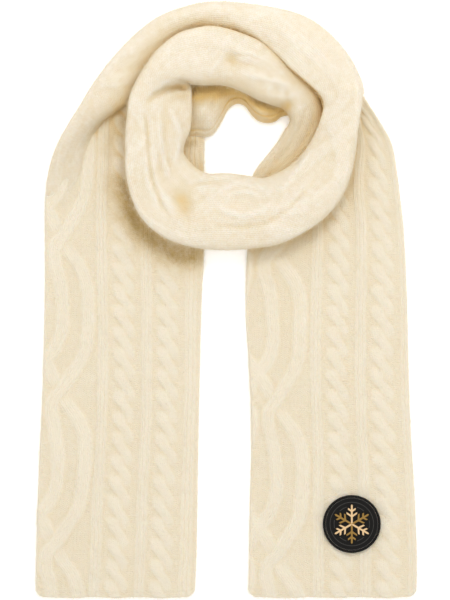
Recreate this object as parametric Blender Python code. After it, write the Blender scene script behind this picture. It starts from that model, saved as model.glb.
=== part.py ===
"""A cable-knit wool scarf, folded in half lengthwise, wound once into a ring and laid flat.

Lengths are in millimetres and are scaled to metres as each mesh is made. +X runs to the right,
+Y from the hems towards the ring, +Z up. The origin is on the surface it lies on, under the
middle of the whole scarf.

The scarf lies in stretches, each its own closed solid: the left tail rises into the outer band,
which goes round the top and becomes the front loop. The loop crosses both tails, goes up the left
side and round the top again as the inner ring, dips under the loop and comes out as the right
tail. Hidden layers share the rounded solid of the stretch that covers them.
"""
import math

import bmesh
import bpy
from mathutils import Vector

MM = 0.001

# Cloth
LAYERS = 7.0                # two pressed layers of felted knit, the height of a tail without its cables
GAP = 0.3                   # between neighbouring pieces
UNDER_LOOP = 11.6           # height at which the front loop crosses the tails
HEM = -313.5                # Y of both hems
MIDDLE = (0.5, -0.95, 0.0)  # middle of the whole outline, which comes to the origin

# Knit pattern, across the scarf from the axis of its oval motif
PATTERN_REPEAT = 162.0      # length of one oval
STRAND_HALF = 7.5
STRAND_HEIGHT = 3.0
ROPE_CENTRES = (88.7, 135.0)
ROPE_PITCH = 22.3
ROPE_SWING = 6.0            # how far a strand of the rope wanders to each side
ROPE_HALF = 5.4             # half the width of one strand
ROPE_HEIGHT = 3.6
RIB_CENTRES = (65.0, 112.0)
RIB_HALF = 6.6
RIB_HEIGHT = 2.2
EDGE_RIB = {"centre": 157.5, "half": 7.5, "height": 1.6}

# The strand that leaves the outer place, crosses over and runs down the inner place
OVER_STRAND = (
    # along, across
    (54.0, 47.0), (37.0, 42.5), (21.0, 32.5), (5.0, 21.5), (-8.0, 11.5),
    (-20.0, 9.5), (-37.0, 13.5), (-58.0, 18.0), (-100.0, 18.0), (-116.0, 11.5), (-131.0, 0.0),
)
# The strand that comes from the fold, crosses under and runs down the outer place
UNDER_STRAND = (
    (32.0, 0.0), (16.0, 9.5), (0.0, 19.0), (-16.0, 29.5), (-31.0, 40.5), (-47.0, 47.0), (-112.0, 47.0),
)

ROW = ROPE_PITCH / 3        # three mesh rows to a twist of the rope
# Mesh columns, from the axis of the motif: on the strands, on the crests and in the gutters
COLUMNS = (-3.0, 1.0, 6.0, 12.0, 18.5, 25.0, 32.0, 39.5, 47.0, 53.0, 57.0, 61.5, 68.5, 74.5, 81.5,
           88.7, 96.0, 103.0, 108.5, 115.5, 121.0, 128.0, 135.0, 142.0, 149.0, 154.0, 160.0)
CLOTH_WIDTH = 166.0         # width of the folded scarf
EDGE_INSET = 0.8            # from the outermost columns to the cloth's edges
EDGE_DROPS = {"fold": 0.8, "open": 0.6, "end": 0.4}     # how far the surface falls there
HEM_SHAPE = {"corner": 9.5, "wave": 0.5, "wave_turn": 0.13, "inset": 1.0}
# Profiles of a cloth's sides: offset outwards, share of the height above the ground
OPEN_PROFILE = ((1.4, 0.74), (0.1, 0.5), (1.2, 0.0))
FOLDED_PROFILE = ((1.3, 0.78), (1.8, 0.45), (0.9, 0.0))

LEFT_TAIL = {
    "fold_edge": (          # y, x
        (-313.5, -199.0), (-249.5, -197.5), (-175.0, -195.0), (-100.5, -191.5), (10.0, -189.0),
        (98.0, -188.5), (134.0, -186.5), (210.0, -184.0)),
    "open_edge": (
        (-313.5, -33.0), (-270.0, -31.0), (-175.0, -29.5), (-100.5, -28.0), (10.0, -25.0),
        (50.0, -22.5), (134.0, -22.7), (210.0, -21.5)),
    "top_end": (            # across, y
        (0.0, 120.5), (20.0, 140.0), (36.0, 156.0), (49.0, 169.5), (57.0, 181.5), (70.0, 194.0),
        (79.0, 205.0), (86.0, 205.0), (100.0, 185.0), (120.0, 171.0), (166.0, 168.5)),
    "axis": 0.0,            # across, from the fold edge to the axis of the motif
    "crossing": 54.5,       # from the hem to the first crossing of the motif
    "straight_rows": 53,
    "end_rows": 8,
}
RIGHT_TAIL = {
    "fold_edge": (
        (-313.5, 25.0), (-293.5, 25.5), (-210.5, 27.0), (-138.0, 28.5), (-63.5, 25.5), (-14.0, 22.5),
        (53.0, 24.0), (100.0, 27.5), (120.0, 30.0), (165.0, 62.0), (212.0, 104.0)),
    "open_edge": (
        (-313.5, 200.5), (-272.0, 199.3), (-200.0, 196.5), (-138.0, 194.5), (-76.0, 192.3),
        (0.0, 190.5), (73.0, 187.0), (93.0, 185.0), (137.0, 179.5), (165.5, 173.5), (189.5, 160.0),
        (211.5, 145.5)),
    "top_end": (
        (0.0, 117.0), (20.0, 118.0), (42.0, 132.0), (66.0, 150.0), (90.0, 176.0), (116.0, 197.0),
        (141.0, 208.0), (166.0, 212.5)),
    "axis": 8.4,
    "crossing": 42.0,
    "straight_rows": 56,
    "end_rows": 9,
}

# Each stretch of the ring is a table of sections, a row for each: the outer and the inner edge of
# the roll in plan, the height of its underside and of its crown, how far its foot stands out
# beyond each edge, and how high its widest part is, as a share of its height.
TOP_STEPS = 16              # mesh faces over the top of a section
# Underneath: share of the half width, share of the drop from the widest part to the ground
LOW_PROFILE = ((0.99, 0.35), (0.97, 0.72), (0.93, 1.0), (0.4, 1.0),
               (-0.4, 1.0), (-0.93, 1.0), (-0.97, 0.72), (-0.99, 0.35))
SECTION_COLUMNS = ("outer_x", "outer_y", "inner_x", "inner_y", "base", "top",
                   "outer_foot", "inner_foot", "waist")
OUTER_BAND = (
    (-184.0, 127.0, -137.5, 173.5, 0.0, 10.0, -2.0, -1.0, 0.50),
    (-179.0, 157.5, -129.0, 185.0, 0.0, 15.0, -3.0, -1.0, 0.50),
    (-163.5, 186.5, -121.0, 192.5, 0.0, 22.0, -4.0, -1.0, 0.50),
    (-151.5, 205.5, -115.0, 199.5, 0.0, 27.0, -5.0, 0.0, 0.50),
    (-137.0, 229.5, -106.5, 210.5, 0.0, 31.0, -5.0, 2.5, 0.45),
    (-113.5, 259.0, -92.0, 236.5, 0.0, 32.0, -5.0, 1.2, 0.45),
    (-80.5, 290.5, -66.0, 267.5, 0.0, 32.0, -5.0, 2.5, 0.45),
    (-48.5, 305.5, -42.5, 285.5, 0.0, 33.0, -4.0, 4.0, 0.45),
    (-12.0, 312.5, -12.0, 289.5, 0.0, 36.0, -4.0, 4.2, 0.45),
    (30.0, 309.5, 25.5, 280.0, 0.0, 41.0, -4.0, 4.5, 0.50),
    (71.5, 301.0, 53.5, 262.5, 0.0, 46.0, -5.0, 4.5, 0.55),
    (97.0, 288.5, 70.0, 247.0, 0.0, 49.0, -6.0, 4.5, 0.58),
    (118.0, 269.5, 83.5, 235.5, 0.0, 50.0, -6.0, 4.5, 0.58),
    (133.5, 249.0, 96.5, 225.5, 0.0, 50.0, -6.0, 5.5, 0.55),
    (143.0, 228.0, 105.0, 215.0, 0.0, 49.0, -6.0, 5.5, 0.55),
    (144.5, 219.5, 107.5, 210.0, 0.0, 48.5, -6.0, 5.0, 0.55),
)
FRONT_LOOP = (
    (144.5, 218.9, 107.5, 209.4, UNDER_LOOP, 48.5, -4.0, 0.0, 0.50),
    (141.5, 198.0, 105.0, 199.0, UNDER_LOOP, 48.0, -5.0, -1.0, 0.50),
    (138.5, 178.0, 99.0, 185.0, UNDER_LOOP, 47.0, -6.0, -4.0, 0.50),
    (137.0, 158.0, 90.5, 167.5, UNDER_LOOP, 46.0, -6.0, -5.0, 0.45),
    (132.0, 132.0, 79.0, 151.0, UNDER_LOOP, 44.5, -6.0, -5.0, 0.45),
    (123.0, 109.0, 67.0, 140.0, UNDER_LOOP, 43.5, -6.0, -5.0, 0.45),
    (106.0, 88.0, 53.5, 132.0, UNDER_LOOP, 42.5, -6.0, -5.0, 0.45),
    (82.5, 70.5, 39.5, 127.5, UNDER_LOOP, 42.0, -6.0, -5.0, 0.45),
    (56.5, 58.0, 26.5, 129.0, UNDER_LOOP, 42.0, -6.0, -5.0, 0.45),
    (28.0, 53.5, 13.0, 131.0, UNDER_LOOP, 42.0, -6.0, -5.0, 0.45),
    (-5.0, 52.0, -3.0, 132.0, UNDER_LOOP, 41.5, -6.0, -5.0, 0.45),
    (-36.0, 55.0, -17.0, 131.5, UNDER_LOOP, 41.0, -6.0, -5.0, 0.45),
    (-63.5, 64.5, -28.5, 136.0, UNDER_LOOP, 41.0, -6.0, -5.0, 0.45),
    (-85.0, 82.5, -38.0, 145.0, UNDER_LOOP, 41.5, -6.0, -5.0, 0.45),
    (-97.5, 106.0, -43.5, 154.0, UNDER_LOOP, 42.0, -6.0, -5.0, 0.45),
    (-103.5, 132.0, -42.0, 164.5, UNDER_LOOP, 42.5, -6.0, -5.0, 0.45),
    (-105.0, 156.0, -37.0, 177.0, UNDER_LOOP, 43.0, -6.0, -4.0, 0.45),
    (-104.5, 175.0, -35.0, 191.0, UNDER_LOOP, 43.0, -6.0, -4.0, 0.45),
    (-103.0, 193.5, -35.0, 209.0, UNDER_LOOP, 43.0, -5.0, -4.0, 0.45),
    (-100.0, 209.5, -35.5, 225.0, UNDER_LOOP, 43.5, -4.0, -4.0, 0.45),
)
INNER_RING = (
    (-99.5, 211.5, -76.0, 217.5, 0.0, 44.0, 1.2, 0.0, 0.55),
    (-95.0, 224.0, -68.0, 223.5, 0.0, 46.5, 1.2, 0.0, 0.55),
    (-89.5, 234.5, -58.5, 227.0, 0.0, 48.0, 1.2, 0.0, 0.55),
    (-81.0, 246.0, -47.5, 227.0, 0.0, 49.0, 1.0, -5.0, 0.58),
    (-69.0, 259.5, -38.0, 225.5, 0.0, 50.0, 1.3, -8.0, 0.60),
    (-48.5, 275.0, -27.5, 224.0, 0.0, 50.0, 2.3, -9.0, 0.62),
    (-24.0, 282.0, -16.0, 224.0, 0.0, 49.0, 3.0, -9.0, 0.62),
    (-8.0, 281.5, -4.5, 224.0, 0.0, 48.5, 3.2, -9.0, 0.62),
    (12.0, 276.0, 7.0, 221.5, 0.0, 47.5, 3.2, -9.0, 0.62),
    (35.0, 266.0, 19.0, 216.5, 0.0, 46.0, 3.0, -9.0, 0.60),
    (55.5, 250.0, 36.5, 208.0, 0.0, 44.0, 3.0, -9.0, 0.58),
    (76.0, 231.5, 50.5, 203.0, 0.0, 41.0, 3.0, -8.0, 0.56),
    (90.5, 214.5, 61.0, 199.5, 0.0, 36.0, 7.5, -5.0, 0.50),
    (94.5, 198.0, 68.0, 188.0, 0.0, 29.0, 12.0, -1.0, 0.40),
    (90.5, 178.0, 61.5, 176.0, 0.0, 21.0, 8.0, -1.0, 0.40),
    (83.0, 160.0, 53.5, 164.5, 0.0, 14.0, 3.0, -1.0, 0.45),
    (71.5, 145.0, 42.0, 149.5, 0.0, 10.8, 0.0, -1.0, 0.45),
    (61.5, 133.5, 31.0, 136.0, 0.0, 10.0, 0.0, -1.0, 0.45),
    (53.5, 124.5, 27.5, 121.5, 0.0, 9.5, 0.0, -1.0, 0.45),
)
# Soft ribs along the three stretches: how many across the top, and their height
BAND_RIBS = (3, 0.9)
LOOP_RIBS = (4, 1.0)
RING_RIBS = (3, 0.8)
BAND_LIP = {"share": 0.84, "half": 0.16, "height": 1.6}
# Soft spots, by the share across the roll and the place along it: the reach of each both ways
LOOP_OVAL = {"share": 0.63, "place": 0.50, "across": 0.26, "along": 0.085, "height": 2.4,
             "crest": 0.75, "half": 0.45}
LOOP_DENT = {"share": 0.50, "place": 0.625, "across": 0.16, "along": 0.035, "height": -3.5}
RING_DIMPLE = {"share": 0.48, "place": 0.475, "across": 0.16, "along": 0.03, "height": -6.0}
RING_CREASE = {"share": 0.42, "place": 0.56, "across": 0.10, "along": 0.09, "height": -3.0}
RING_RIDGE = {"share": 0.70, "place": 0.56, "across": 0.12, "along": 0.08, "height": 2.5}
# Where the front loop's end goes under the lip of the inner ring
LOOP_END = {"place": 0.90, "length": 0.08, "share": 0.25, "width": 0.35, "depth": 15.0}

# The loose edges that hang from the inner ring into the neck hole
RUFFLE_COLUMNS = ("hidden_x", "hidden_y", "edge_x", "edge_y", "edge_top", "hidden_top", "bulge")
RUFFLE = (
    (-36.0, 224.5, -36.0, 175.0, 9.0, 12.0, 0.0),
    (-29.0, 226.0, -29.0, 173.0, 10.5, 15.0, 5.0),
    (-21.5, 226.5, -20.5, 171.8, 10.5, 15.0, 8.0),
    (-14.0, 226.5, -12.0, 175.5, 10.0, 15.0, 7.0),
    (-6.5, 226.0, -4.0, 188.5, 9.0, 15.0, 3.0),
    (1.0, 225.0, 3.0, 199.5, 8.0, 14.0, 0.0),
    (11.5, 222.0, 14.5, 205.0, 8.0, 14.0, 0.0),
    (20.0, 218.0, 23.0, 201.0, 8.0, 14.0, 0.0),
    (28.5, 213.5, 30.0, 190.5, 9.0, 14.0, 3.0),
    (37.0, 209.5, 39.5, 186.0, 10.0, 14.0, 4.0),
    (46.0, 206.0, 49.0, 187.0, 10.0, 14.0, 3.0),
    (57.0, 200.5, 63.0, 189.5, 9.0, 13.0, 0.0),
)
RUFFLE_SHARES = (0.0, 0.14, 0.3, 0.5, 0.75, 1.0)    # mesh rows from the edge to the hidden side
RUFFLE_GROOVE = 1.2

# Badge near the hem of the right tail
BADGE = {
    "centre": (133.0, -236.0),
    "radius": 30.5,
    "rim_width": 2.6,
    "base": 9.2,
    "disc_top": 11.4,
    "rim_top": 12.4,
    "star_top": 12.6,
    "sides": 48,
}
BADGE_PRESS = {"relief": 0.35, "margin": 5.0, "fade": 6.0}  # cables pressed flat below the badge
STAR = {
    "arms": 6,
    "half_bar": 0.95,
    "length": 19.5,
    "tip": 1.4,
    "branches": ((7.5, 5.6), (13.0, 3.8)),  # start along the arm, length
    "branch_slope": 55.0,
    "branch_root": 2.2,
    "branch_end": 1.9,
}


def smooth_lookup(table, at):
    """Value of a two-column table at a place, on a smooth curve through its rows."""
    rows = sorted(table)
    if at <= rows[0][0]:
        return rows[0][1]
    if at >= rows[-1][0]:
        return rows[-1][1]
    index = max(i for i in range(len(rows) - 1) if rows[i][0] <= at)
    x0, y0 = rows[index]
    x1, y1 = rows[index + 1]
    slope = (y1 - y0) / (x1 - x0)
    before = slope
    after = slope
    if index > 0:
        before = 0.5 * (slope + (y0 - rows[index - 1][1]) / (x0 - rows[index - 1][0]))
    if index < len(rows) - 2:
        after = 0.5 * (slope + (rows[index + 2][1] - y1) / (rows[index + 2][0] - x1))
    span = x1 - x0
    t = (at - x0) / span
    return ((2 * t ** 3 - 3 * t ** 2 + 1) * y0 + (t ** 3 - 2 * t ** 2 + t) * span * before
            + (3 * t ** 2 - 2 * t ** 3) * y1 + (t ** 3 - t ** 2) * span * after)


def smooth_rows(rows, spacing):
    """Rows of a table of numbers filled in on a Catmull-Rom curve, about spacing apart in plan."""
    filled = []
    last = len(rows) - 1
    for i in range(last):
        p0, p1, p2, p3 = rows[max(i - 1, 0)], rows[i], rows[i + 1], rows[min(i + 2, last)]
        middle_1 = Vector((p1[0] + p1[2], p1[1] + p1[3])) / 2
        middle_2 = Vector((p2[0] + p2[2], p2[1] + p2[3])) / 2
        steps = max(1, round((middle_2 - middle_1).length / spacing))
        for k in range(steps):
            t = k / steps
            filled.append(tuple(
                0.5 * (2 * b + (c - a) * t + (2 * a - 5 * b + 4 * c - d) * t * t
                       + (3 * b - a - 3 * c + d) * t ** 3)
                for a, b, c, d in zip(p0, p1, p2, p3)))
    filled.append(tuple(rows[last]))
    return filled


def bump(distance, half):
    """A rounded ridge, 1 at its middle and 0 at half."""
    share = abs(distance) / half
    return math.sqrt(1 - share * share) if share < 1 else 0.0


def strand_height(path, across, along, hidden_at_crossing):
    """Height of one strand of the oval motif, whose path repeats along the scarf."""
    first, last = path[0][0], path[-1][0]
    best = 0.0
    repeat = math.ceil((along - first) / PATTERN_REPEAT)
    for turn in (repeat, repeat + 1):
        place = along - turn * PATTERN_REPEAT
        if place < last:
            continue
        ridge = bump(across - smooth_lookup(path, place), STRAND_HALF)
        if hidden_at_crossing:
            ridge *= 1 - 0.8 * math.exp(-(place / 13.0) ** 2)
        best = max(best, ridge)
    return STRAND_HEIGHT * best


def rope_height(centre, across, along):
    """Height of a rope cable: slanting strands, each tucked under the next."""
    best = 0.0
    nearest = round(along / ROPE_PITCH)
    for twist in (nearest - 1, nearest, nearest + 1):
        place = along / ROPE_PITCH - twist
        if abs(place) >= 0.85:
            continue
        sway = math.sin(math.pi * max(-0.5, min(0.5, place)))
        ridge = bump(across - centre + ROPE_SWING * sway, ROPE_HALF)
        best = max(best, ridge * (1 - (abs(place) / 0.85) ** 3))
    return ROPE_HEIGHT * best


def knit_relief(across, along, crossing):
    """Height of the cables and ribs above the plain cloth, from the motif's axis and the hem."""
    across = abs(across)
    heights = [
        strand_height(OVER_STRAND, across, along - crossing, False),
        strand_height(UNDER_STRAND, across, along - crossing, True),
    ]
    heights += [rope_height(centre, across, along) for centre in ROPE_CENTRES]
    heights += [RIB_HEIGHT * bump(across - centre, RIB_HALF) ** 0.6 for centre in RIB_CENTRES]
    heights.append(EDGE_RIB["height"] * bump(across - EDGE_RIB["centre"], EDGE_RIB["half"]))
    return max(heights)


def row_shear(across):
    """Mesh rows lean along the strands inside a rope, by a row from its middle to its side."""
    for centre in ROPE_CENTRES:
        if 1.0 < abs(across - centre) < 10.0:
            return -ROW if across > centre else ROW
    return 0.0


def add_object(name, mesh_data, colour, roughness):
    """Finish a bmesh as a named object with its own material."""
    bmesh.ops.recalc_face_normals(mesh_data, faces=mesh_data.faces)
    bmesh.ops.translate(mesh_data, vec=-Vector(MIDDLE), verts=mesh_data.verts)
    bmesh.ops.scale(mesh_data, vec=(MM, MM, MM), verts=mesh_data.verts)
    mesh = bpy.data.meshes.new(name)
    mesh_data.to_mesh(mesh)
    mesh_data.free()
    mesh.shade_smooth()
    mesh.set_sharp_from_angle(angle=math.radians(40))
    piece = bpy.data.objects.new(name, mesh)
    bpy.context.collection.objects.link(piece)
    material = bpy.data.materials.new(name + "_finish")
    material.use_nodes = True
    shader = material.node_tree.nodes["Principled BSDF"]
    shader.inputs["Base Color"].default_value = (*colour, 1.0)
    shader.inputs["Roughness"].default_value = roughness
    shader.inputs["Metallic"].default_value = 0.0
    mesh.materials.append(material)
    return piece


WOOL = ((0.86, 0.78, 0.62), 0.95)


def cloth_slab(name, grid, open_sides):
    """A closed solid under a grid of surface points. Its underside is flat on the ground. The open
    sides show a groove between the two layers, and the others are round, as a fold is.
    Sides are numbered 0 hem, 1 right, 2 far end, 3 left."""
    data = bmesh.new()
    verts = [[data.verts.new(point) for point in row] for row in grid]
    rows, columns = len(grid), len(grid[0])
    for i in range(rows - 1):
        for j in range(columns - 1):
            a, b, c, d = verts[i][j], verts[i][j + 1], verts[i + 1][j + 1], verts[i + 1][j]
            data.faces.new((a, b, d))
            data.faces.new((b, c, d))
    border = [(0, j, 0) for j in range(columns - 1)]
    border += [(i, columns - 1, 1) for i in range(rows - 1)]
    border += [(rows - 1, j, 2) for j in range(columns - 1, 0, -1)]
    border += [(i, 0, 3) for i in range(rows - 1, 0, -1)]
    count = len(border)
    ring = [verts[i][j] for i, j, side in border]
    outward = []
    for k in range(count):
        along = ring[(k + 1) % count].co - ring[k - 1].co
        outward.append(Vector((along.y, -along.x, 0.0)).normalized())
    for step in range(len(OPEN_PROFILE)):
        new_ring = []
        for k in range(count):
            profile = OPEN_PROFILE if border[k][2] in open_sides else FOLDED_PROFILE
            offset, share = profile[step]
            start = verts[border[k][0]][border[k][1]].co
            point = start + outward[k] * offset
            new_ring.append(data.verts.new((point.x, point.y, start.z * share)))
        for k in range(count):
            after = (k + 1) % count
            data.faces.new((ring[k], ring[after], new_ring[after], new_ring[k]))
        ring = new_ring
    data.faces.new(list(reversed(ring)))
    return add_object(name, data, *WOOL)


def corner_rise(distance, radius):
    """How far the hem rises near a rounded corner."""
    if distance >= radius:
        return 0.0
    return radius - math.sqrt(radius ** 2 - (radius - distance) ** 2)


def badge_press(x, y):
    """Under the badge the cables are pressed nearly flat: 1 elsewhere, less below it."""
    distance = math.hypot(x - BADGE["centre"][0], y - BADGE["centre"][1])
    margin = distance - BADGE["radius"] - BADGE_PRESS["margin"]
    rise = min(1.0, max(0.0, margin / BADGE_PRESS["fade"]))
    return BADGE_PRESS["relief"] + (1 - BADGE_PRESS["relief"]) * rise


def build_tail(name, tail):
    """One free end: a grid of rows along the scarf, whose far end follows the ring that covers it."""
    rows = tail["straight_rows"] + tail["end_rows"]
    columns = [EDGE_INSET]
    columns += [tail["axis"] + place for place in COLUMNS if 3 < tail["axis"] + place < CLOTH_WIDTH - 3]
    columns.append(CLOTH_WIDTH - EDGE_INSET)
    grid = []
    for i in range(rows + 1):
        row = []
        for column in columns:
            from_axis = column - tail["axis"]
            edge_distance = min(column, CLOTH_WIDTH - column)
            hem_rise = corner_rise(edge_distance, HEM_SHAPE["corner"]) + HEM_SHAPE["inset"]
            hem_rise += HEM_SHAPE["wave"] * math.sin(column * HEM_SHAPE["wave_turn"])
            straight = tail["straight_rows"] * ROW
            end = smooth_lookup(tail["top_end"], column) - HEM
            if i <= tail["straight_rows"]:
                along = i * ROW + hem_rise * max(0.0, 1 - i / 2)
                near_end = max(0.0, i - tail["straight_rows"] + 3) / 3
                if i > 1:
                    along += row_shear(from_axis) * (1 - near_end)
            else:
                share = (i - tail["straight_rows"]) / tail["end_rows"]
                along = straight + share * (end - straight)
            y = HEM + along
            left = smooth_lookup(tail["fold_edge"], y)
            right = smooth_lookup(tail["open_edge"], y)
            x = left + (right - left) * column / CLOTH_WIDTH
            relief = knit_relief(from_axis, along, tail["crossing"]) * badge_press(x, y)
            row.append(Vector((x, y, LAYERS + relief)))
        grid.append(row)
    for row in grid:
        row[0].z = min(row[0].z, LAYERS - EDGE_DROPS["fold"])
        row[-1].z = LAYERS - EDGE_DROPS["open"]
    for row in (grid[0], grid[-1]):
        for point in row:
            point.z = min(point.z, LAYERS - EDGE_DROPS["end"])
    return cloth_slab(name, grid, open_sides=(0, 1))


def signed_power(value, power):
    return math.copysign(abs(value) ** power, value)


def roll_section(row, relief, place):
    """Points round one section of a roll, from its outer edge over the top and back underneath."""
    section = dict(zip(SECTION_COLUMNS, row))
    outer = Vector((section["outer_x"], section["outer_y"], 0.0))
    inner = Vector((section["inner_x"], section["inner_y"], 0.0))
    width = (inner - outer).length
    direction = (inner - outer) / width
    waist = section["base"] + section["waist"] * (section["top"] - section["base"])
    points = []
    for k in range(TOP_STEPS + 1):
        angle = math.pi * (1 - k / TOP_STEPS)
        share = 0.5 + 0.5 * signed_power(math.cos(angle), 0.9)
        crown = math.sin(angle) ** 0.85
        height = waist + (section["top"] - waist) * crown + relief(share, place) * math.sin(angle)
        point = outer + direction * width * share
        points.append(Vector((point.x, point.y, height)))
    for side, depth in LOW_PROFILE:
        foot = section["inner_foot"] if side > 0 else section["outer_foot"]
        reach = (0.5 * width + foot * depth) * side
        point = (outer + inner) / 2 + direction * reach
        points.append(Vector((point.x, point.y, waist + (section["base"] - waist) * depth)))
    return points


def build_roll(name, table, spacing, relief):
    """A closed solid swept through the sections of a table."""
    rows = smooth_rows(table, spacing)
    data = bmesh.new()
    rings = []
    for index, row in enumerate(rows):
        points = roll_section(row, relief, index / (len(rows) - 1))
        rings.append([data.verts.new(point) for point in points])
    count = len(rings[0])
    for first, second in zip(rings, rings[1:]):
        for k in range(count):
            after = (k + 1) % count
            data.faces.new((first[k], first[after], second[after], second[k]))
    data.faces.new(list(reversed(rings[0])))
    data.faces.new(rings[-1])
    bmesh.ops.triangulate(data, faces=[face for face in data.faces if len(face.verts) == 4])
    return add_object(name, data, *WOOL)


def smooth_step(value):
    value = max(0.0, min(1.0, value))
    return value * value * (3 - 2 * value)


def soft_spot(spot, share, place):
    """A soft hump or hollow, by its reach across and along a roll."""
    across = (share - spot["share"]) / spot["across"]
    along = (place - spot["place"]) / spot["along"]
    return spot["height"] * math.exp(-across ** 2 - along ** 2)


def ribs_height(ribs, share):
    """Soft ribs along a roll."""
    count, height = ribs
    return height * math.cos(2 * math.pi * count * share)


def band_relief(share, place):
    """Soft ribs along the outer band, and the rolled lip of its inner edge."""
    lip = BAND_LIP["height"] * bump(share - BAND_LIP["share"], BAND_LIP["half"])
    return ribs_height(BAND_RIBS, share) * min(1.0, 4 * place) + lip


def loop_relief(share, place):
    """Ribs along the front loop, the big oval of its cable in front, and the dent beside it."""
    across = (share - LOOP_OVAL["share"]) / LOOP_OVAL["across"]
    along = (place - LOOP_OVAL["place"]) / LOOP_OVAL["along"]
    distance = math.hypot(across, along)
    oval = LOOP_OVAL["height"] * bump(distance - LOOP_OVAL["crest"], LOOP_OVAL["half"])
    ribs = ribs_height(LOOP_RIBS, share) * min(1.0, distance)
    end = smooth_step((place - LOOP_END["place"]) / LOOP_END["length"])
    end *= smooth_step((share - LOOP_END["share"]) / LOOP_END["width"])
    return (ribs + oval + soft_spot(LOOP_DENT, share, place)) * (1 - end) - LOOP_END["depth"] * end


def ring_relief(share, place):
    """The crease and dimple in the top of the inner ring, and its ribs."""
    spots = (RING_DIMPLE, RING_CREASE, RING_RIDGE)
    return ribs_height(RING_RIBS, share) + sum(soft_spot(spot, share, place) for spot in spots)


def build_ruffle():
    """The loose edges under the inner ring, with the groove between the two of them."""
    rows = reversed(smooth_rows(RUFFLE, 5.0))
    grid = []
    for row in rows:
        place = dict(zip(RUFFLE_COLUMNS, row))
        edge = Vector((place["edge_x"], place["edge_y"], place["edge_top"]))
        hidden = Vector((place["hidden_x"], place["hidden_y"], place["hidden_top"]))
        points = []
        for share in RUFFLE_SHARES:
            point = edge.lerp(hidden, share)
            rise = math.sin(share * math.pi / 2) * (place["hidden_top"] - place["edge_top"])
            point.z = place["edge_top"] + rise + place["bulge"] * math.sin(share * math.pi)
            points.append(point)
        points[1].z -= RUFFLE_GROOVE
        grid.append(points)
    return cloth_slab("inner_ruffle", grid, open_sides=(3,))


def turned_ring(name, profile, colour, roughness):
    """A profile of (radius, height) points turned round the badge's centre. A radius of 0 closes it."""
    centre = BADGE["centre"]
    sides = BADGE["sides"]
    data = bmesh.new()
    rings = []
    for radius, height in profile:
        if radius == 0.0:
            rings.append([data.verts.new((centre[0], centre[1], height))] * sides)
            continue
        rings.append([
            data.verts.new((centre[0] + radius * math.cos(2 * math.pi * k / sides),
                            centre[1] + radius * math.sin(2 * math.pi * k / sides), height))
            for k in range(sides)])
    pairs = list(zip(rings, rings[1:]))
    if profile[0][0] > 0.0:
        pairs.append((rings[-1], rings[0]))
    for lower, upper in pairs:
        for k in range(sides):
            corners = (lower[k], lower[(k + 1) % sides], upper[(k + 1) % sides], upper[k])
            distinct = list(dict.fromkeys(corners))
            if len(distinct) > 2:
                data.faces.new(distinct)
    return add_object(name, data, colour, roughness)


def build_badge():
    """A black disc with a raised rim, and a six-armed star of plain bars standing on it."""
    base, top = BADGE["base"], BADGE["disc_top"]
    disc_radius = BADGE["radius"] - BADGE["rim_width"] - GAP
    turned_ring("badge_disc", (
        (0.0, base), (disc_radius, base), (disc_radius, top - 0.3), (disc_radius - 0.4, top),
        (0.0, top)), (0.015, 0.015, 0.016), 0.45)
    inner, outer = BADGE["radius"] - BADGE["rim_width"], BADGE["radius"]
    rim_top = BADGE["rim_top"]
    turned_ring("badge_rim", (
        (inner, base), (outer, base), (outer, rim_top - 1.0), (outer - 0.5, rim_top - 0.2),
        (outer - 1.1, rim_top), (inner + 0.6, rim_top), (inner, rim_top - 0.6)),
        (0.02, 0.02, 0.022), 0.4)

    half, length = STAR["half_bar"], STAR["length"]
    lean = math.radians(STAR["branch_slope"])
    slope = Vector((math.cos(lean), math.sin(lean)))
    side = [Vector((half / math.tan(math.pi / STAR["arms"]), half))]
    for start, reach in STAR["branches"]:
        root = Vector((start, half))
        end = root + slope * reach
        side += [root, end, end + Vector((STAR["branch_end"], 0.0)),
                 root + Vector((STAR["branch_root"], 0.0))]
    side.append(Vector((length, half)))
    tip = Vector((length + STAR["tip"], 0.0))
    half_arm = side + [tip]
    mirrored = [Vector((point.x, -point.y)) for point in reversed(side[1:])]
    outline = []
    for arm in range(STAR["arms"]):
        turn = math.pi / 2 - arm * 2 * math.pi / STAR["arms"]
        for point in half_arm + mirrored:
            outline.append((
                BADGE["centre"][0] + point.x * math.cos(turn) - point.y * math.sin(turn),
                BADGE["centre"][1] + point.x * math.sin(turn) + point.y * math.cos(turn)))
    data = bmesh.new()
    low = [data.verts.new((x, y, top + GAP)) for x, y in outline]
    high = [data.verts.new((x, y, BADGE["star_top"])) for x, y in outline]
    data.faces.new(list(reversed(low)))
    data.faces.new(high)
    for k in range(len(outline)):
        after = (k + 1) % len(outline)
        data.faces.new((low[k], low[after], high[after], high[k]))
    add_object("badge_star", data, (0.62, 0.42, 0.13), 0.4)


def main():
    for thing in list(bpy.data.objects):
        bpy.data.objects.remove(thing, do_unlink=True)
    build_tail("left_tail", LEFT_TAIL)
    build_tail("right_tail", RIGHT_TAIL)
    build_roll("outer_band", OUTER_BAND, 13.0, band_relief)
    build_roll("front_loop", FRONT_LOOP, 12.0, loop_relief)
    build_roll("inner_ring", INNER_RING, 11.0, ring_relief)
    build_ruffle()
    build_badge()


main()
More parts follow.
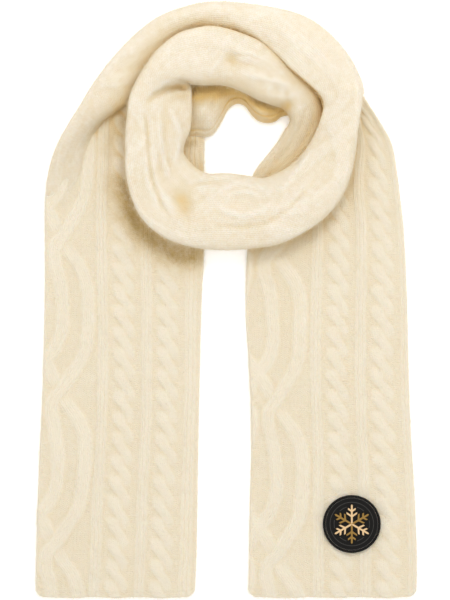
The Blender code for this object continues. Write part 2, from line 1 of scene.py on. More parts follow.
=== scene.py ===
import math
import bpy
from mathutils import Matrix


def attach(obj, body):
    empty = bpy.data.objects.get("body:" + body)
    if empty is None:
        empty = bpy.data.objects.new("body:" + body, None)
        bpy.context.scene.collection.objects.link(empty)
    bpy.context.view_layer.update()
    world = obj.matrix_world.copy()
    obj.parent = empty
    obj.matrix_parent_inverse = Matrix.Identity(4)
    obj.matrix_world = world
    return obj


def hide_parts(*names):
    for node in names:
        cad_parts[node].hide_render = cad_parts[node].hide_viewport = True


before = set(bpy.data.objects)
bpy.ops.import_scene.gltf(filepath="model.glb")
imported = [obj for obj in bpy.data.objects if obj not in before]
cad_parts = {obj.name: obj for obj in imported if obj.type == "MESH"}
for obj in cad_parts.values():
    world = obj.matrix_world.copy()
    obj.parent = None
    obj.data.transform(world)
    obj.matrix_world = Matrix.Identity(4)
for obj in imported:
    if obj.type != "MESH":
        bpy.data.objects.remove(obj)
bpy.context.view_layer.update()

from types import SimpleNamespace

import bpy
import numpy as np
from mathutils import Vector
from mathutils.bvhtree import BVHTree

mm = 0.001
middle = np.array((0.5, -0.95, 0.0))    # the tables are in mm from the gap between the two ends
print("frame loaded:", len(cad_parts), "nodes")


def curveAt(table, at):
    # smooth value of a two-column table at many places
    rows = np.array(sorted(table), float)
    x, y = rows[:, 0], rows[:, 1]
    at = np.clip(at, x[0], x[-1])
    slope = np.diff(y) / np.diff(x)
    lean = np.concatenate(([slope[0]], 0.5 * (slope[1:] + slope[:-1]), [slope[-1]]))
    i = np.clip(np.searchsorted(x, at, side="right") - 1, 0, len(x) - 2)
    span = x[i + 1] - x[i]
    t = (at - x[i]) / span
    return ((2 * t ** 3 - 3 * t ** 2 + 1) * y[i] + (t ** 3 - 2 * t ** 2 + t) * span * lean[i]
            + (3 * t ** 2 - 2 * t ** 3) * y[i + 1] + (t ** 3 - t ** 2) * span * lean[i + 1])


def fillRows(rows, spacing):
    # sections filled in on a smooth curve, about spacing apart in plan
    rows = np.array(rows, float)
    filled = []
    last = len(rows) - 1
    for i in range(last):
        a, b, c, d = rows[max(i - 1, 0)], rows[i], rows[i + 1], rows[min(i + 2, last)]
        gap = np.hypot(*((c[0:2] + c[2:4]) - (b[0:2] + b[2:4]))) / 2
        steps = max(1, round(gap / spacing))
        for k in range(steps):
            t = k / steps
            filled.append(0.5 * (2 * b + (c - a) * t + (2 * a - 5 * b + 4 * c - d) * t * t
                                 + (3 * b - a - 3 * c + d) * t ** 3))
    filled.append(rows[last])
    return np.array(filled)


def rise(value):
    # soft step from 0 to 1
    t = np.clip(value, 0, 1)
    return t * t * (3 - 2 * t)


def swell(x, y, size, seed):
    # slow uneven waves, about -1 to 1, the same each run
    dice = np.random.default_rng(seed)
    total = np.zeros(np.shape(x))
    for k in range(7):
        turn, shift, stretch = dice.uniform(0, 2 * math.pi), dice.uniform(0, 6.28), dice.uniform(0.6, 1.7)
        total += np.sin((x * math.cos(turn) + y * math.sin(turn)) * 2 * math.pi / (size * stretch) + shift)
    return total / 4.2


def swells(x, y, waves, seed):
    # several swells on each other: height, size and a number added to the seed
    return sum(height * swell(x, y, size, seed + more) for height, size, more in waves)


def toPath(x, y, path):
    # distance to a line of points in plan, and the share of the line that is nearest
    best = np.full(np.shape(x), 1e9)
    share = np.zeros(np.shape(x))
    points = np.array(path, float)
    lengths = np.hypot(*np.diff(points, axis=0).T)
    before = np.concatenate(([0], np.cumsum(lengths)))
    for k, length in enumerate(lengths):
        a, b = points[k], points[k + 1]
        t = np.clip(((x - a[0]) * (b[0] - a[0]) + (y - a[1]) * (b[1] - a[1])) / length ** 2, 0, 1)
        distance = np.hypot(x - a[0] - t * (b[0] - a[0]), y - a[1] - t * (b[1] - a[1]))
        closer = distance < best
        best = np.where(closer, distance, best)
        share = np.where(closer, (before[k] + t * length) / before[-1], share)
    return best, share


def pressFolds(x, y, folds):
    # creases and ridges laid on the cloth, soft to both sides and at both ends
    # each: line in plan, half width, height, share of the line that eases, height at the far end if another
    total = np.zeros(np.shape(x))
    for path, half, height, ease, *far in folds:
        distance, share = toPath(x, y, path)
        ends = rise(share / ease) * rise((1 - share) / ease)
        if far:     # the height changes along the line
            height = height + (far[0] - height) * share
        total += height * np.exp(-(distance / half) ** 2) * ends
    return total


def pressSpots(x, y, spots, what):
    # round dimples with a patch of painted shade; each: x, y, half width, lift, shade
    total = np.zeros(np.shape(x))
    for atX, atY, half, lift, shadeTone in spots:
        amount = {"lift": lift, "shadeTone": shadeTone}[what]
        total += amount * np.exp(-(np.hypot(x - atX, y - atY) / half) ** 2)
    return total


knit = {
    "stitch": 4.15,             # width of a stitch and height of a row
    "row": 2.78,
    "repeat": 162,              # length of one oval
    "strandHalf": 9.3,
    "strandHeight": 1.7,
    "strandStitch": 4.7,
    "strandFade": 14,           # over what length a strand rises where it begins or ends
    "dip": (0.85, 12.5),        # how much the lower strand sinks where it is crossed, over what length
    "ropeCentres": (88.7, 135),
    "ropePitch": 22.3,
    "ropeSwing": 5.4,           # how far a strand swings to each side of the rope's middle
    "ropeHalf": 7,
    "ropeHeight": 1.9,
    "ropeStitch": 4.3,
    "ropePlump": 0.3,           # how much fuller the upper end of a strand is
    "ropeReach": 0.85,          # where a strand ends, in pitches from its middle
    "ropeMatted": 0.6,          # the ropes are felted over
    "ribs": ((65, 7.2, 1.2), (112, 7.2, 1.2), (157.5, 7.5, 0.9)),     # middle, half width, height
    "groove": 0.3,              # depth between the columns of stitches on a rib
    "grooveShares": (0.35,) * 6 + (0.25,) * 2 + (1,) * 3,   # of strands, ropes and ribs
    "ground": 0.3,              # below this height the purl ground shows
    "over": (
        (60, 47), (52, 47), (37, 42.5), (21, 32.5), (5, 21.5), (-8, 11.5), (-20, 9.5), (-37, 13.5),
        (-58, 18), (-100, 18), (-116, 11.5), (-131, 0), (-150, -13)),
    "under": (
        (50, -12), (32, 0), (16, 9.5), (0, 19), (-16, 29.5), (-31, 40.5), (-47, 47), (-122, 47)),
}
ropeParts = (6, 7)              # their places among the parts of the pattern


def cableParts(across, along, crossing, turns=None):
    # height of each part of the pattern and its own stitch coordinates; turns fixes which repeat counts
    heights, places, used = [], [], []

    def keep(height, u, v, turn):
        heights.append(height)
        places.append(np.stack((u + 0.5, v), -1))
        used.append(turn)

    dip, dipLength = knit["dip"]
    place0 = along - crossing
    for name, shift in (("over", 0), ("over", 1), ("under", 0)):
        path = knit[name]
        first, last = path[0][0], path[-1][0]
        for side in (1.0, -1.0):
            turn = np.ceil((place0 - first) / knit["repeat"]) + shift
            if turns is not None:
                turn = turns[len(used)]
            place = place0 - turn * knit["repeat"]
            slope = (curveAt(path, place + 2) - curveAt(path, place - 2)) / 4
            off = (side * across - curveAt(path, place)) / np.sqrt(1 + slope ** 2)
            height = knit["strandHeight"] * np.clip(1 - (off / knit["strandHalf"]) ** 4, 0, None) ** 1.5
            height = height * (place >= last) * (place <= first)
            if name == "over":
                height = height * rise((place - last) / knit["strandFade"])
            else:
                crossed = 1 - dip * np.exp(-(place / dipLength) ** 2)
                height = height * rise((first - place) / knit["strandFade"]) * crossed
            keep(height, side * off / knit["strandStitch"], along / knit["row"], turn)
    away = np.abs(across)
    side = np.where(across < 0, -1.0, 1.0)
    for centre in knit["ropeCentres"]:
        nearest = np.round(along / knit["ropePitch"])
        if turns is not None:
            choices = [turns[len(used)]]
        else:
            choices = [nearest - 1, nearest, nearest + 1]
        found = []
        for turn in choices:
            place = along / knit["ropePitch"] - turn
            off = away - centre + knit["ropeSwing"] * np.sin(math.pi * np.clip(place, -0.5, 0.5))
            plump = 1 + knit["ropePlump"] * place
            end = np.clip(1 - (np.abs(place) / knit["ropeReach"]) ** 3, 0, None)
            lump = np.clip(1 - (off / (knit["ropeHalf"] * plump)) ** 2, 0, None) ** 0.7
            found.append((lump * end * plump, off, place, turn))
        best = np.argmax([f[0] for f in found], axis=0)
        pick = lambda n: np.choose(best, [np.broadcast_to(f[n], np.shape(best)) for f in found])
        keep(knit["ropeHeight"] * pick(0), side * pick(1) / knit["ropeStitch"], pick(2) * 8, pick(3))
    for centre, half, height in knit["ribs"]:
        off = away - centre
        lump = np.clip(1 - (off / half) ** 2, 0, None)
        keep(height * lump, side * off / knit["stitch"], along / knit["row"], np.zeros(np.shape(off)))
    return np.array(heights), np.array(places), np.array(used)


def knitHeight(across, along, crossing):
    # relief of the whole pattern; where parts meet, the higher one wins softly
    heights, places = cableParts(across, along, crossing)[:2]
    grooves = np.cos(2 * math.pi * (places[..., 0] - 0.5))
    shares = np.array(knit["grooveShares"])[:, None, None]
    heights = heights + knit["groove"] * shares * grooves * rise(heights / 0.9)
    return (np.clip(heights, 0, None) ** 4).sum(0) ** (1 / 4)


def stitchMap(across, along, crossing):
    # stitch coordinates at the corners of each face, in the part that wins there, and how much of it is purl
    heights, _, turns = cableParts(across.mean(1), along.mean(1), crossing)
    best = np.argmax(heights, axis=0)
    plain = heights.max(0) < knit["ground"]
    corners = cableParts(across, along, crossing, np.repeat(turns[..., None], 4, axis=-1))[1]
    uv = corners[best, np.arange(len(best))]
    ground = np.stack((across / knit["stitch"], along / knit["row"]), -1)
    matted = np.where(np.isin(best, ropeParts), knit["ropeMatted"], 0.0)
    return np.where(plain[:, None, None], ground, uv), np.where(plain, 1.0, matted)


def softened(values, reach):
    # a grid of values blurred over reach steps to each side
    for axis in (0, 1, 0, 1):
        sides = [(reach, reach) if k == axis else (0, 0) for k in (0, 1)]
        padded = np.pad(values, sides, mode="edge")
        size = values.shape[axis]
        steps = [np.take(padded, np.arange(k, k + size), axis=axis) for k in range(2 * reach + 1)]
        values = sum(steps) / len(steps)
    return values


def sunkBelow(height):
    return softened(height, 2) - height


def gridQuads(rows, columns):
    i, j = np.meshgrid(np.arange(rows - 1), np.arange(columns - 1), indexing="ij")
    first = (i * columns + j).ravel()
    return np.stack((first, first + 1, first + columns + 1, first + columns), -1)


# sides of a slab from the top down: how far out in mm, share of the height
foldSide = ((0.7, 0.93), (1.2, 0.82), (1.55, 0.7), (1.75, 0.58), (1.8, 0.46), (1.75, 0.34), (1.6, 0.22),
            (1.3, 0.1), (0.9, 0))
openSide = ((0.8, 0.93), (1.35, 0.82), (1.4, 0.7), (1, 0.58), (0, 0.5), (1, 0.42), (1.4, 0.28),
            (1.3, 0.12), (0.9, 0))


def slabShell(grid, openSides):
    # two layers of cloth: the grid on top, folded or open sides, and a flat underside
    # openSides names the open ones: 0 start, 1 right, 2 end, 3 left
    rows, columns = grid.shape[:2]
    points = [grid.reshape(-1, 3)]
    quads = [gridQuads(rows, columns)]
    border = [(0, j, 0) for j in range(columns - 1)]
    border += [(i, columns - 1, 1) for i in range(rows - 1)]
    border += [(rows - 1, j, 2) for j in range(columns - 1, 0, -1)]
    border += [(i, 0, 3) for i in range(rows - 1, 0, -1)]
    before = np.array([i * columns + j for i, j, side in border])
    isOpen = np.array([side in openSides for i, j, side in border])
    ring = points[0][before]
    along = np.roll(ring, -1, 0) - np.roll(ring, 1, 0)
    out = np.stack((along[:, 1], -along[:, 0], np.zeros(len(ring))), -1)
    out /= np.linalg.norm(out, axis=1)[:, None] + 1e-9
    for k in range(len(foldSide)):
        offset = np.where(isOpen, openSide[k][0], foldSide[k][0])
        level = ring + out * offset[:, None]
        level[:, 2] = ring[:, 2] * np.where(isOpen, openSide[k][1], foldSide[k][1])
        points.append(level)
        now = (rows * columns + k * len(ring)) + np.arange(len(ring))
        quads.append(np.stack((before, now, np.roll(now, -1), np.roll(before, -1)), -1))
        before = now
    return np.concatenate(points), np.concatenate(quads), before[::-1]


def smoothPiece(name, points, corners, sizes, shades):
    # a smooth mesh from arrays in mm: corners of all faces in a row, how many each has, values by point
    mesh = bpy.data.meshes.new(name)
    mesh.vertices.add(len(points))
    mesh.vertices.foreach_set("co", ((points - middle) * mm).astype(np.float32).ravel())
    mesh.loops.add(len(corners))
    mesh.loops.foreach_set("vertex_index", corners.astype(np.int32))
    mesh.polygons.add(len(sizes))
    starts = np.concatenate(([0], np.cumsum(sizes)[:-1]))
    mesh.polygons.foreach_set("loop_start", starts.astype(np.int32))
    mesh.update(calc_edges=True)
    mesh.polygons.foreach_set("use_smooth", np.ones(len(sizes), bool))
    for title, values in shades.items():
        attribute = mesh.attributes.new(title, "FLOAT", "POINT")
        attribute.data.foreach_set("value", values.astype(np.float32))
    piece = bpy.data.objects.new(name, mesh)
    bpy.context.collection.objects.link(piece)
    return piece


def dress(piece, material, nodeNames):
    piece.data.materials.append(material)
    if nodeNames:
        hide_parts(*nodeNames)
    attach(piece, "root")


cloths = {}     # every cloth with its arrays, for the painted shade of the hollows and the fuzz


def layCloth(name, material, nodeNames, shell, shape, shelterShade, uv, purl, hollow, shade):
    # shape: rows and columns of the upper face; shelterShade: how strongly shelter paints shade on it; purl:
    # by face
    points, quads, under = shell
    under = np.array(under, int)
    sizes = [4] * len(quads) + [len(under)] * (len(under) > 0)
    corners = np.concatenate((quads.ravel(), under))
    piece = smoothPiece(name, points, corners, sizes, {"hollow": hollow, "shade": shade})
    mesh = piece.data
    underUv = points[under, :2] / (knit["stitch"], knit["row"])
    allUv = np.concatenate((uv.reshape(-1, 2), underUv))
    mesh.uv_layers.new(name="stitches").data.foreach_set("uv", allUv.astype(np.float32).ravel())
    purl = np.append(purl, np.ones(len(sizes) - len(quads)))
    mesh.attributes.new("purl", "FLOAT", "FACE").data.foreach_set("value", purl.astype(np.float32))
    mesh.validate()
    mesh.update()
    dress(piece, material, nodeNames)
    cloths[name] = {"piece": piece, "points": points, "quads": quads, "shape": shape, "shelterShade": shelterShade}
    print(name, len(quads) * 2, "triangles")
    return piece


woolLook = {
    "crest": (0.862, 0.792, 0.652),
    # painted shade: gutter is the tone between the stitches and in hollows, deep the tone of the deepest
    # hollows; shadow is painted shadow
    "gutter": (0.832, 0.725, 0.525),
    "deep": (0.800, 0.565, 0.225),
    "shadow": (0.560, 0.395, 0.150),
    "fibre": (0.840, 0.775, 0.635),
    "glow": 0.15,
    "sheen": 0.25,
    "bump": 0.0011,     # m
    "legDepth": 0.5,    # shares of the stitch's two legs and of its row in the relief
    "rowDepth": 0.15,
    "slant": -1.3,      # lean of a leg, and half its width
    "legHalf": 0.27,
    "purl": 0.85,       # how plainly the reverse side shows
    "scales": {"haze": 260, "fibre": 1300, "patchy": 22},
    "drawnOut": (7.0, 0.9),     # fibres drawn out along the rows
    "relief": 0.8,      # stitch in the bump, and as painted shade between the stitches in the colour
    "tone": 0.25,
    "bumps": {"haze": 0.7, "fibre": 0.5, "streak": 0.6},     # unevenness of the surface, and of the colour
    "grains": {"patchy": 0.7, "haze": 0.9, "fibre": 0.3, "streak": 0.6},
}
# a lighter, paler copy of the same wool for the winding: painted light on its crests; its darker gutter and
# stronger stitch tone are painted shade
ringLook = dict(woolLook, crest=(0.915, 0.857, 0.755), gutter=(0.800, 0.680, 0.470), rowDepth=0.3, tone=0.95)
deepFrom = 0.85         # from here on a hollow takes the deep tone of painted shade


def plainMaterial(name, finish):
    # finish: values of the shader's own sockets
    material = bpy.data.materials.new(name)
    material.use_nodes = True
    sockets = material.node_tree.nodes["Principled BSDF"].inputs
    for title, value in finish.items():
        sockets[title].default_value = value
    return material


def nodeTools(material):
    # short ways to add nodes; a value is a number, a colour or the output of another node
    tree = material.node_tree
    isOutput = lambda value: isinstance(value, bpy.types.NodeSocket)

    def feed(socket, value):
        if isOutput(value):
            tree.links.new(value, socket)
        else:
            socket.default_value = value

    def add(kind, inputs={}, **settings):
        # inputs: by name or number; settings: what the node itself is set to
        node = tree.nodes.new("ShaderNode" + kind)
        for title, value in settings.items():
            setattr(node, title, value)
        for title, value in inputs.items():
            feed(node.inputs[title], value)
        return node.outputs

    def sums(kind, *values, clamp=False):
        return add("Math", dict(enumerate(values)), operation=kind, use_clamp=clamp)[0]

    def mixed(share, *colours):
        # sockets 6 and 7 are the two colours
        first, second = [c if isOutput(c) else (*c, 1.0) for c in colours]
        return add("Mix", {0: share, 6: first, 7: second}, data_type="RGBA")[2]

    def noise(scale, detail, rough=0.5):
        inputs = {"Vector": place, "Scale": scale, "Detail": detail, "Roughness": rough}
        return add("TexNoise", inputs)["Fac"]

    def byPoint(title):
        return add("Attribute", attribute_name=title)["Fac"]

    def paint(colour, height=None, depth=0.0):
        # onto the shader: the colour, and the relief as a bump of some depth in m
        sockets = tree.nodes["Principled BSDF"].inputs
        feed(sockets["Base Color"], colour)
        if height is not None:
            feed(sockets["Normal"], add("Bump", {"Distance": depth, "Height": height})[0])

    place = add("TexCoord")["Object"]
    return SimpleNamespace(place=place, add=add, sums=sums, mixed=mixed, noise=noise, byPoint=byPoint,
                           paint=paint)


def woolMaterial(name, look):
    material = plainMaterial(name, {
        "Roughness": 0.95, "Specular IOR Level": 0.15,
        "Sheen Weight": look["sheen"], "Sheen Roughness": 0.5, "Sheen Tint": (1.0, 0.97, 0.92, 1.0),
        "Subsurface Weight": look["glow"], "Subsurface Radius": (1.0, 0.62, 0.34), "Subsurface Scale": 0.003})
    tools = nodeTools(material)
    add, sums, mixed, noise = tools.add, tools.sums, tools.mixed, tools.noise
    u, v = add("SeparateXYZ", {0: add("UVMap", uv_map="stitches")[0]})[:2]
    hollow = tools.byPoint("hollow")

    # two leaf-shaped legs to a stitch
    fromMiddle = sums("ABSOLUTE", sums("SUBTRACT", sums("FRACT", u), 0.5))
    turn = sums("FRACT", sums("MULTIPLY_ADD", fromMiddle, look["slant"], v))
    rowBump = sums("POWER", sums("SINE", sums("MULTIPLY", turn, math.pi)), 0.8)
    toLeg = sums("DIVIDE", sums("SUBTRACT", fromMiddle, 0.25), look["legHalf"])
    leg = sums("MAXIMUM", sums("SUBTRACT", 1.0, sums("MULTIPLY", toLeg, toLeg)), 0.0)
    vee = sums("MULTIPLY", sums("MULTIPLY_ADD", leg, look["legDepth"], 1 - look["legDepth"]),
               sums("MULTIPLY_ADD", rowBump, look["rowDepth"], 1 - look["rowDepth"]))
    # zigzag bars of the reverse side, between the cables
    haze = noise(look["scales"]["haze"], 3, 0.6)
    zigzag = sums("MULTIPLY_ADD", haze, 0.8, sums("MULTIPLY", v, 1.25))
    zigzag = sums("MULTIPLY_ADD", fromMiddle, 1.1, zigzag)
    bars = sums("SINE", sums("MULTIPLY", zigzag, 2 * math.pi))
    bars = sums("MULTIPLY_ADD", bars, 0.24, 0.65)
    isPurl = sums("MULTIPLY", tools.byPoint("purl"), look["purl"])
    stitch = add("Mix", {0: isPurl, 2: vee, 3: bars}, data_type="FLOAT")[0]

    # fibres drawn out along the rows, and the matted haze over them
    alongU, alongV = look["drawnOut"]
    drawnOut = add("CombineXYZ", {0: sums("MULTIPLY", u, alongU), 1: sums("MULTIPLY", v, alongV)})[0]
    streak = add("TexNoise", {"Vector": drawnOut, "Scale": 1.0, "Detail": 3.0, "Distortion": 0.6})["Fac"]
    fibre = noise(look["scales"]["fibre"], 3, 0.7)
    patchy = noise(look["scales"]["patchy"], 3, 0.6)
    grains = {"patchy": patchy, "haze": haze, "fibre": fibre, "streak": streak}
    height = sums("MULTIPLY", stitch, look["relief"])
    for title, share in look["bumps"].items():
        height = sums("MULTIPLY_ADD", grains[title], share, height)

    # painted shade: the gutter tone where the stitch is low and in the hollows, the deep tone in the deepest
    # hollows; the grains add random tone
    low = sums("MULTIPLY", sums("SUBTRACT", 1.0, stitch), look["tone"])
    for title, share in look["grains"].items():
        low = sums("ADD", low, sums("MULTIPLY", sums("SUBTRACT", grains[title], 0.5), share))
    low = sums("ADD", low, sums("MINIMUM", hollow, 1.0), clamp=True)
    dark = sums("SUBTRACT", hollow, deepFrom, clamp=True)
    colour = mixed(dark, mixed(low, look["crest"], look["gutter"]), look["deep"])
    # painted shadow, mottled by the haze and the patches
    mottled = sums("MULTIPLY_ADD", sums("ADD", haze, patchy), 1.4, -0.4)
    colour = mixed(sums("MULTIPLY", tools.byPoint("shade"), mottled), colour, look["shadow"])
    tools.paint(colour, height, look["bump"])
    return material


wool = woolMaterial("creamWool", woolLook)
ringWool = woolMaterial("ringWool", ringLook)
print("wool mixed")


# both ends: x of the edges by y, y of the upper end by place across, and the pattern's place
leftTail = {
    "foldEdge": (
        (-313.5, -199), (-249.5, -197.5), (-175, -195), (-100.5, -191.5), (10, -189), (98, -188.5),
        (134, -186.5), (210, -184)),
    "openEdge": (
        (-313.5, -33), (-270, -31), (-175, -29.5), (-100.5, -28), (10, -25), (50, -22.5), (134, -22.7),
        (210, -21.5)),
    "topEnd": (
        (0, 120.5), (20, 140), (36, 156), (49, 169.5), (57, 181.5), (70, 194), (79, 205), (86, 205),
        (100, 185), (120, 171), (166, 168.5)),
    "axis": 0,
    "crossing": 54.5,           # from the hem, where strands first cross
    "straight": 394,            # length before the upper end bends away
    # how far the ropes lie towards the fold, by place along
    "wander": (
        (0, 4.5), (60, 4), (105, 3.5), (145, 2), (190, 1.5), (230, 2), (272, 2.8), (314, 4.2), (356, 6.2),
        (440, 7)),
    "under": 22,                # how far it runs on under the loop
    "sunk": (       # the cloth is pressed down where the loop lies on it
        (((-112, 160), (-108, 125), (-98, 92), (-80, 68), (-55, 50), (-20, 44)), 16, -2.6, 0.15),
    ),
    "shaded": (     # the loop stands off the cloth here and leaves it in shade
        (((-112, 140), (-108, 118), (-99, 92), (-82, 68), (-56, 50), (-16, 42)), 15, 0.75, 0.12),
        (((-44, 165), (-37, 163.5), (-29, 166)), 4, 0.5, 0.15),
        (((-105, 192), (-112, 178), (-122, 162), (-132, 148)), 8, 0.4, 0.15, 0.15),
    ),
    "seed": 3,
}
rightTail = {
    "foldEdge": (
        (-313.5, 25), (-293.5, 25.5), (-210.5, 27), (-138, 28.5), (-63.5, 25.5), (-14, 22.5), (53, 24),
        (100, 27.5), (120, 30), (165, 62), (212, 104)),
    "openEdge": (
        (-313.5, 200.5), (-272, 201), (-200, 198.2), (-138, 194.5), (-76, 192.3), (0, 190.5), (73, 187),
        (93, 185), (137, 179.5), (165.5, 173.5), (189.5, 160), (211.5, 145.5)),
    "topEnd": (
        (0, 117), (20, 118), (42, 132), (66, 150), (90, 176), (116, 197), (141, 208), (166, 212.5)),
    "axis": 8.4,
    "crossing": 42,
    "straight": 416,
    "wander": (
        (0, 5), (145, 5), (200, 5.3), (230, 5), (272, 3), (314, 1.2), (356, 0), (480, 0)),
    "under": 0,
    "sunk": (
        (((20, 46), (60, 52), (95, 72), (125, 98), (140, 140)), 9, -0.6, 0.15),
    ),
    "shaded": (
        (((20, 52), (60, 57), (95, 77), (125, 104), (142, 140)), 4, 0.4, 0.12, 0.1),
    ),
    "seed": 4,
}
cloth = {
    "width": 166,
    "layers": 7,                # height of the two layers
    "hem": -313.5,
    "endReach": 110,            # about the length of the part that bends away
    "step": 1.2,
    "rowStep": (22.3 / 16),
    "corner": 9.5,              # radius of the corners at the hem
    "hemFade": 16,              # how far up the hem's own line is felt
    "waves": ((0.5, 90, 0), (0.25, 28, 9), (0.12, 9, 13)),
    "patternWaves": ((0.6, 45, 17),),
    # depth and reach at the fold, at the open edge and at the hem
    "rollDown": ((1.3, 2.2), (1.2, 2.0), (1.3, 2.0)),
    "castOn": (0.8, 4.2, 1.1),  # the line of the cast-on edge: depth, place from the hem, half width
    "inset": 0.8,               # the upper face stops this far from the edges
    "hemWave": (1, 0.5, 0.13),  # how far in the hem runs, its waver and the pace of that
    "groundShade": 0.3,          # painted shade on the flat ground, and on what sinks below its surroundings
    "sunkShade": 0.5,
    "shelterShade": 1.8,              # how strongly shelter paints shade on it
}
badge = {
    "centre": (133, -236),
    "radius": 30.5,
    "discTop": 11.4,
    "press": 0.35,              # how much of the pattern stays under it
    "pressBeyond": (5, 6),      # how far beyond the rim that holds, and over what length it ends
    "bareMargin": 0.5,          # no fuzz this near its rim
}


def fromBadge(x, y):
    return np.hypot(x - badge["centre"][0], y - badge["centre"][1])


def badgePress(x, y):
    reach, fade = badge["pressBeyond"]
    beyond = np.clip((fromBadge(x, y) - badge["radius"] - reach) / fade, 0, 1)
    return badge["press"] + (1 - badge["press"]) * beyond


def patternAcross(tail, across, along):
    # across the pattern, from the axis of its ovals
    width = cloth["width"]
    weight = rise(across / 60) * (0.35 + 0.65 * rise((width - across) / 30))
    return across - tail["axis"] + curveAt(tail["wander"], along) * weight


def tailGrid(tail):
    # place across and along the cloth at every point of the upper face, and where the hem runs
    width, inset, straight, corner = cloth["width"], cloth["inset"], tail["straight"], cloth["corner"]
    columns = np.linspace(inset, width - inset, round(width / cloth["step"]) + 1)
    hemIn, waver, pace = cloth["hemWave"]
    edge = np.minimum(columns, width - columns)
    cornerRise = corner - np.sqrt(np.clip(corner ** 2 - (corner - edge) ** 2, 0, None))
    hemRise = np.where(edge < corner, cornerRise, 0) + waver * np.sin(columns * pace) + hemIn
    end = curveAt(tail["topEnd"], columns) - cloth["hem"] + tail["under"] * rise((columns - 6) / 30)
    straightRows = round(straight / cloth["rowStep"])
    endRows = round(cloth["endReach"] / cloth["rowStep"])
    along = []
    for i in range(straightRows + 1):
        y = straight * i / straightRows
        along.append(y + hemRise * max(0.0, 1 - y / cloth["hemFade"]))
    for i in range(1, endRows + 1):
        along.append(straight + i / endRows * (end - straight))
    along = np.array(along)
    return np.broadcast_to(columns, along.shape), along, hemRise


def buildTail(name, node, tail):
    width, hem = cloth["width"], cloth["hem"]
    across, along, hemRise = tailGrid(tail)
    y = hem + along
    left, right = curveAt(tail["foldEdge"], y), curveAt(tail["openEdge"], y)
    x = left + (right - left) * across / width
    fromAxis = patternAcross(tail, across, along) + swells(x, y, cloth["patternWaves"], tail["seed"])
    press = badgePress(x, y)
    relief = knitHeight(fromAxis, along, tail["crossing"])
    waves = swells(x, y, cloth["waves"], tail["seed"]) + pressFolds(x, y, tail["sunk"])
    z = cloth["layers"] + relief * press + waves * press
    # felted edges: the surface rolls down to the fold, the open edge and the hem
    fromHem = along - hemRise
    edges = zip((across, width - across, fromHem), cloth["rollDown"])
    z -= sum(depth * np.exp(-(away / reach)) for away, (depth, reach) in edges)
    depth, place, half = cloth["castOn"]
    z -= depth * np.exp(-((fromHem - place) / half) ** 2)
    grid = np.stack((x, y, z), -1)
    shell = slabShell(grid, (0, 1))
    points, quads = shell[:2]
    count = along.size
    flatAcross = np.concatenate((fromAxis.ravel(), points[count:, 0] - tail["foldEdge"][0][1]))
    flatAlong = np.concatenate((along.ravel(), points[count:, 1] - hem))
    uv, purl = stitchMap(flatAcross[quads], flatAlong[quads], tail["crossing"])
    sides = (quads >= count).any(1)
    purl[sides] = 0
    uv[sides] = points[quads[sides]][:, :, [2, 1]] / knit["row"]
    hollow, shade = np.zeros(len(points)), np.zeros(len(points))
    sunk = np.clip(sunkBelow(relief), -0.6, 1.0)
    ground = 1 - rise(relief / 1.6)
    # painted shade on the low ground and in what sinks; painted shadow along the shaded lines
    hollow[:count] = (cloth["groundShade"] * ground + cloth["sunkShade"] * sunk).ravel()
    shade[:count] = pressFolds(x, y, tail["shaded"]).ravel()
    return layCloth(name, wool, [node], shell, along.shape, cloth["shelterShade"], uv, purl, hollow, shade)


for name, node, tail in (("leftTail", "left_tail", leftTail), ("rightTail", "right_tail", rightTail)):
    piece = buildTail(name, node, tail)
print("tails laid")


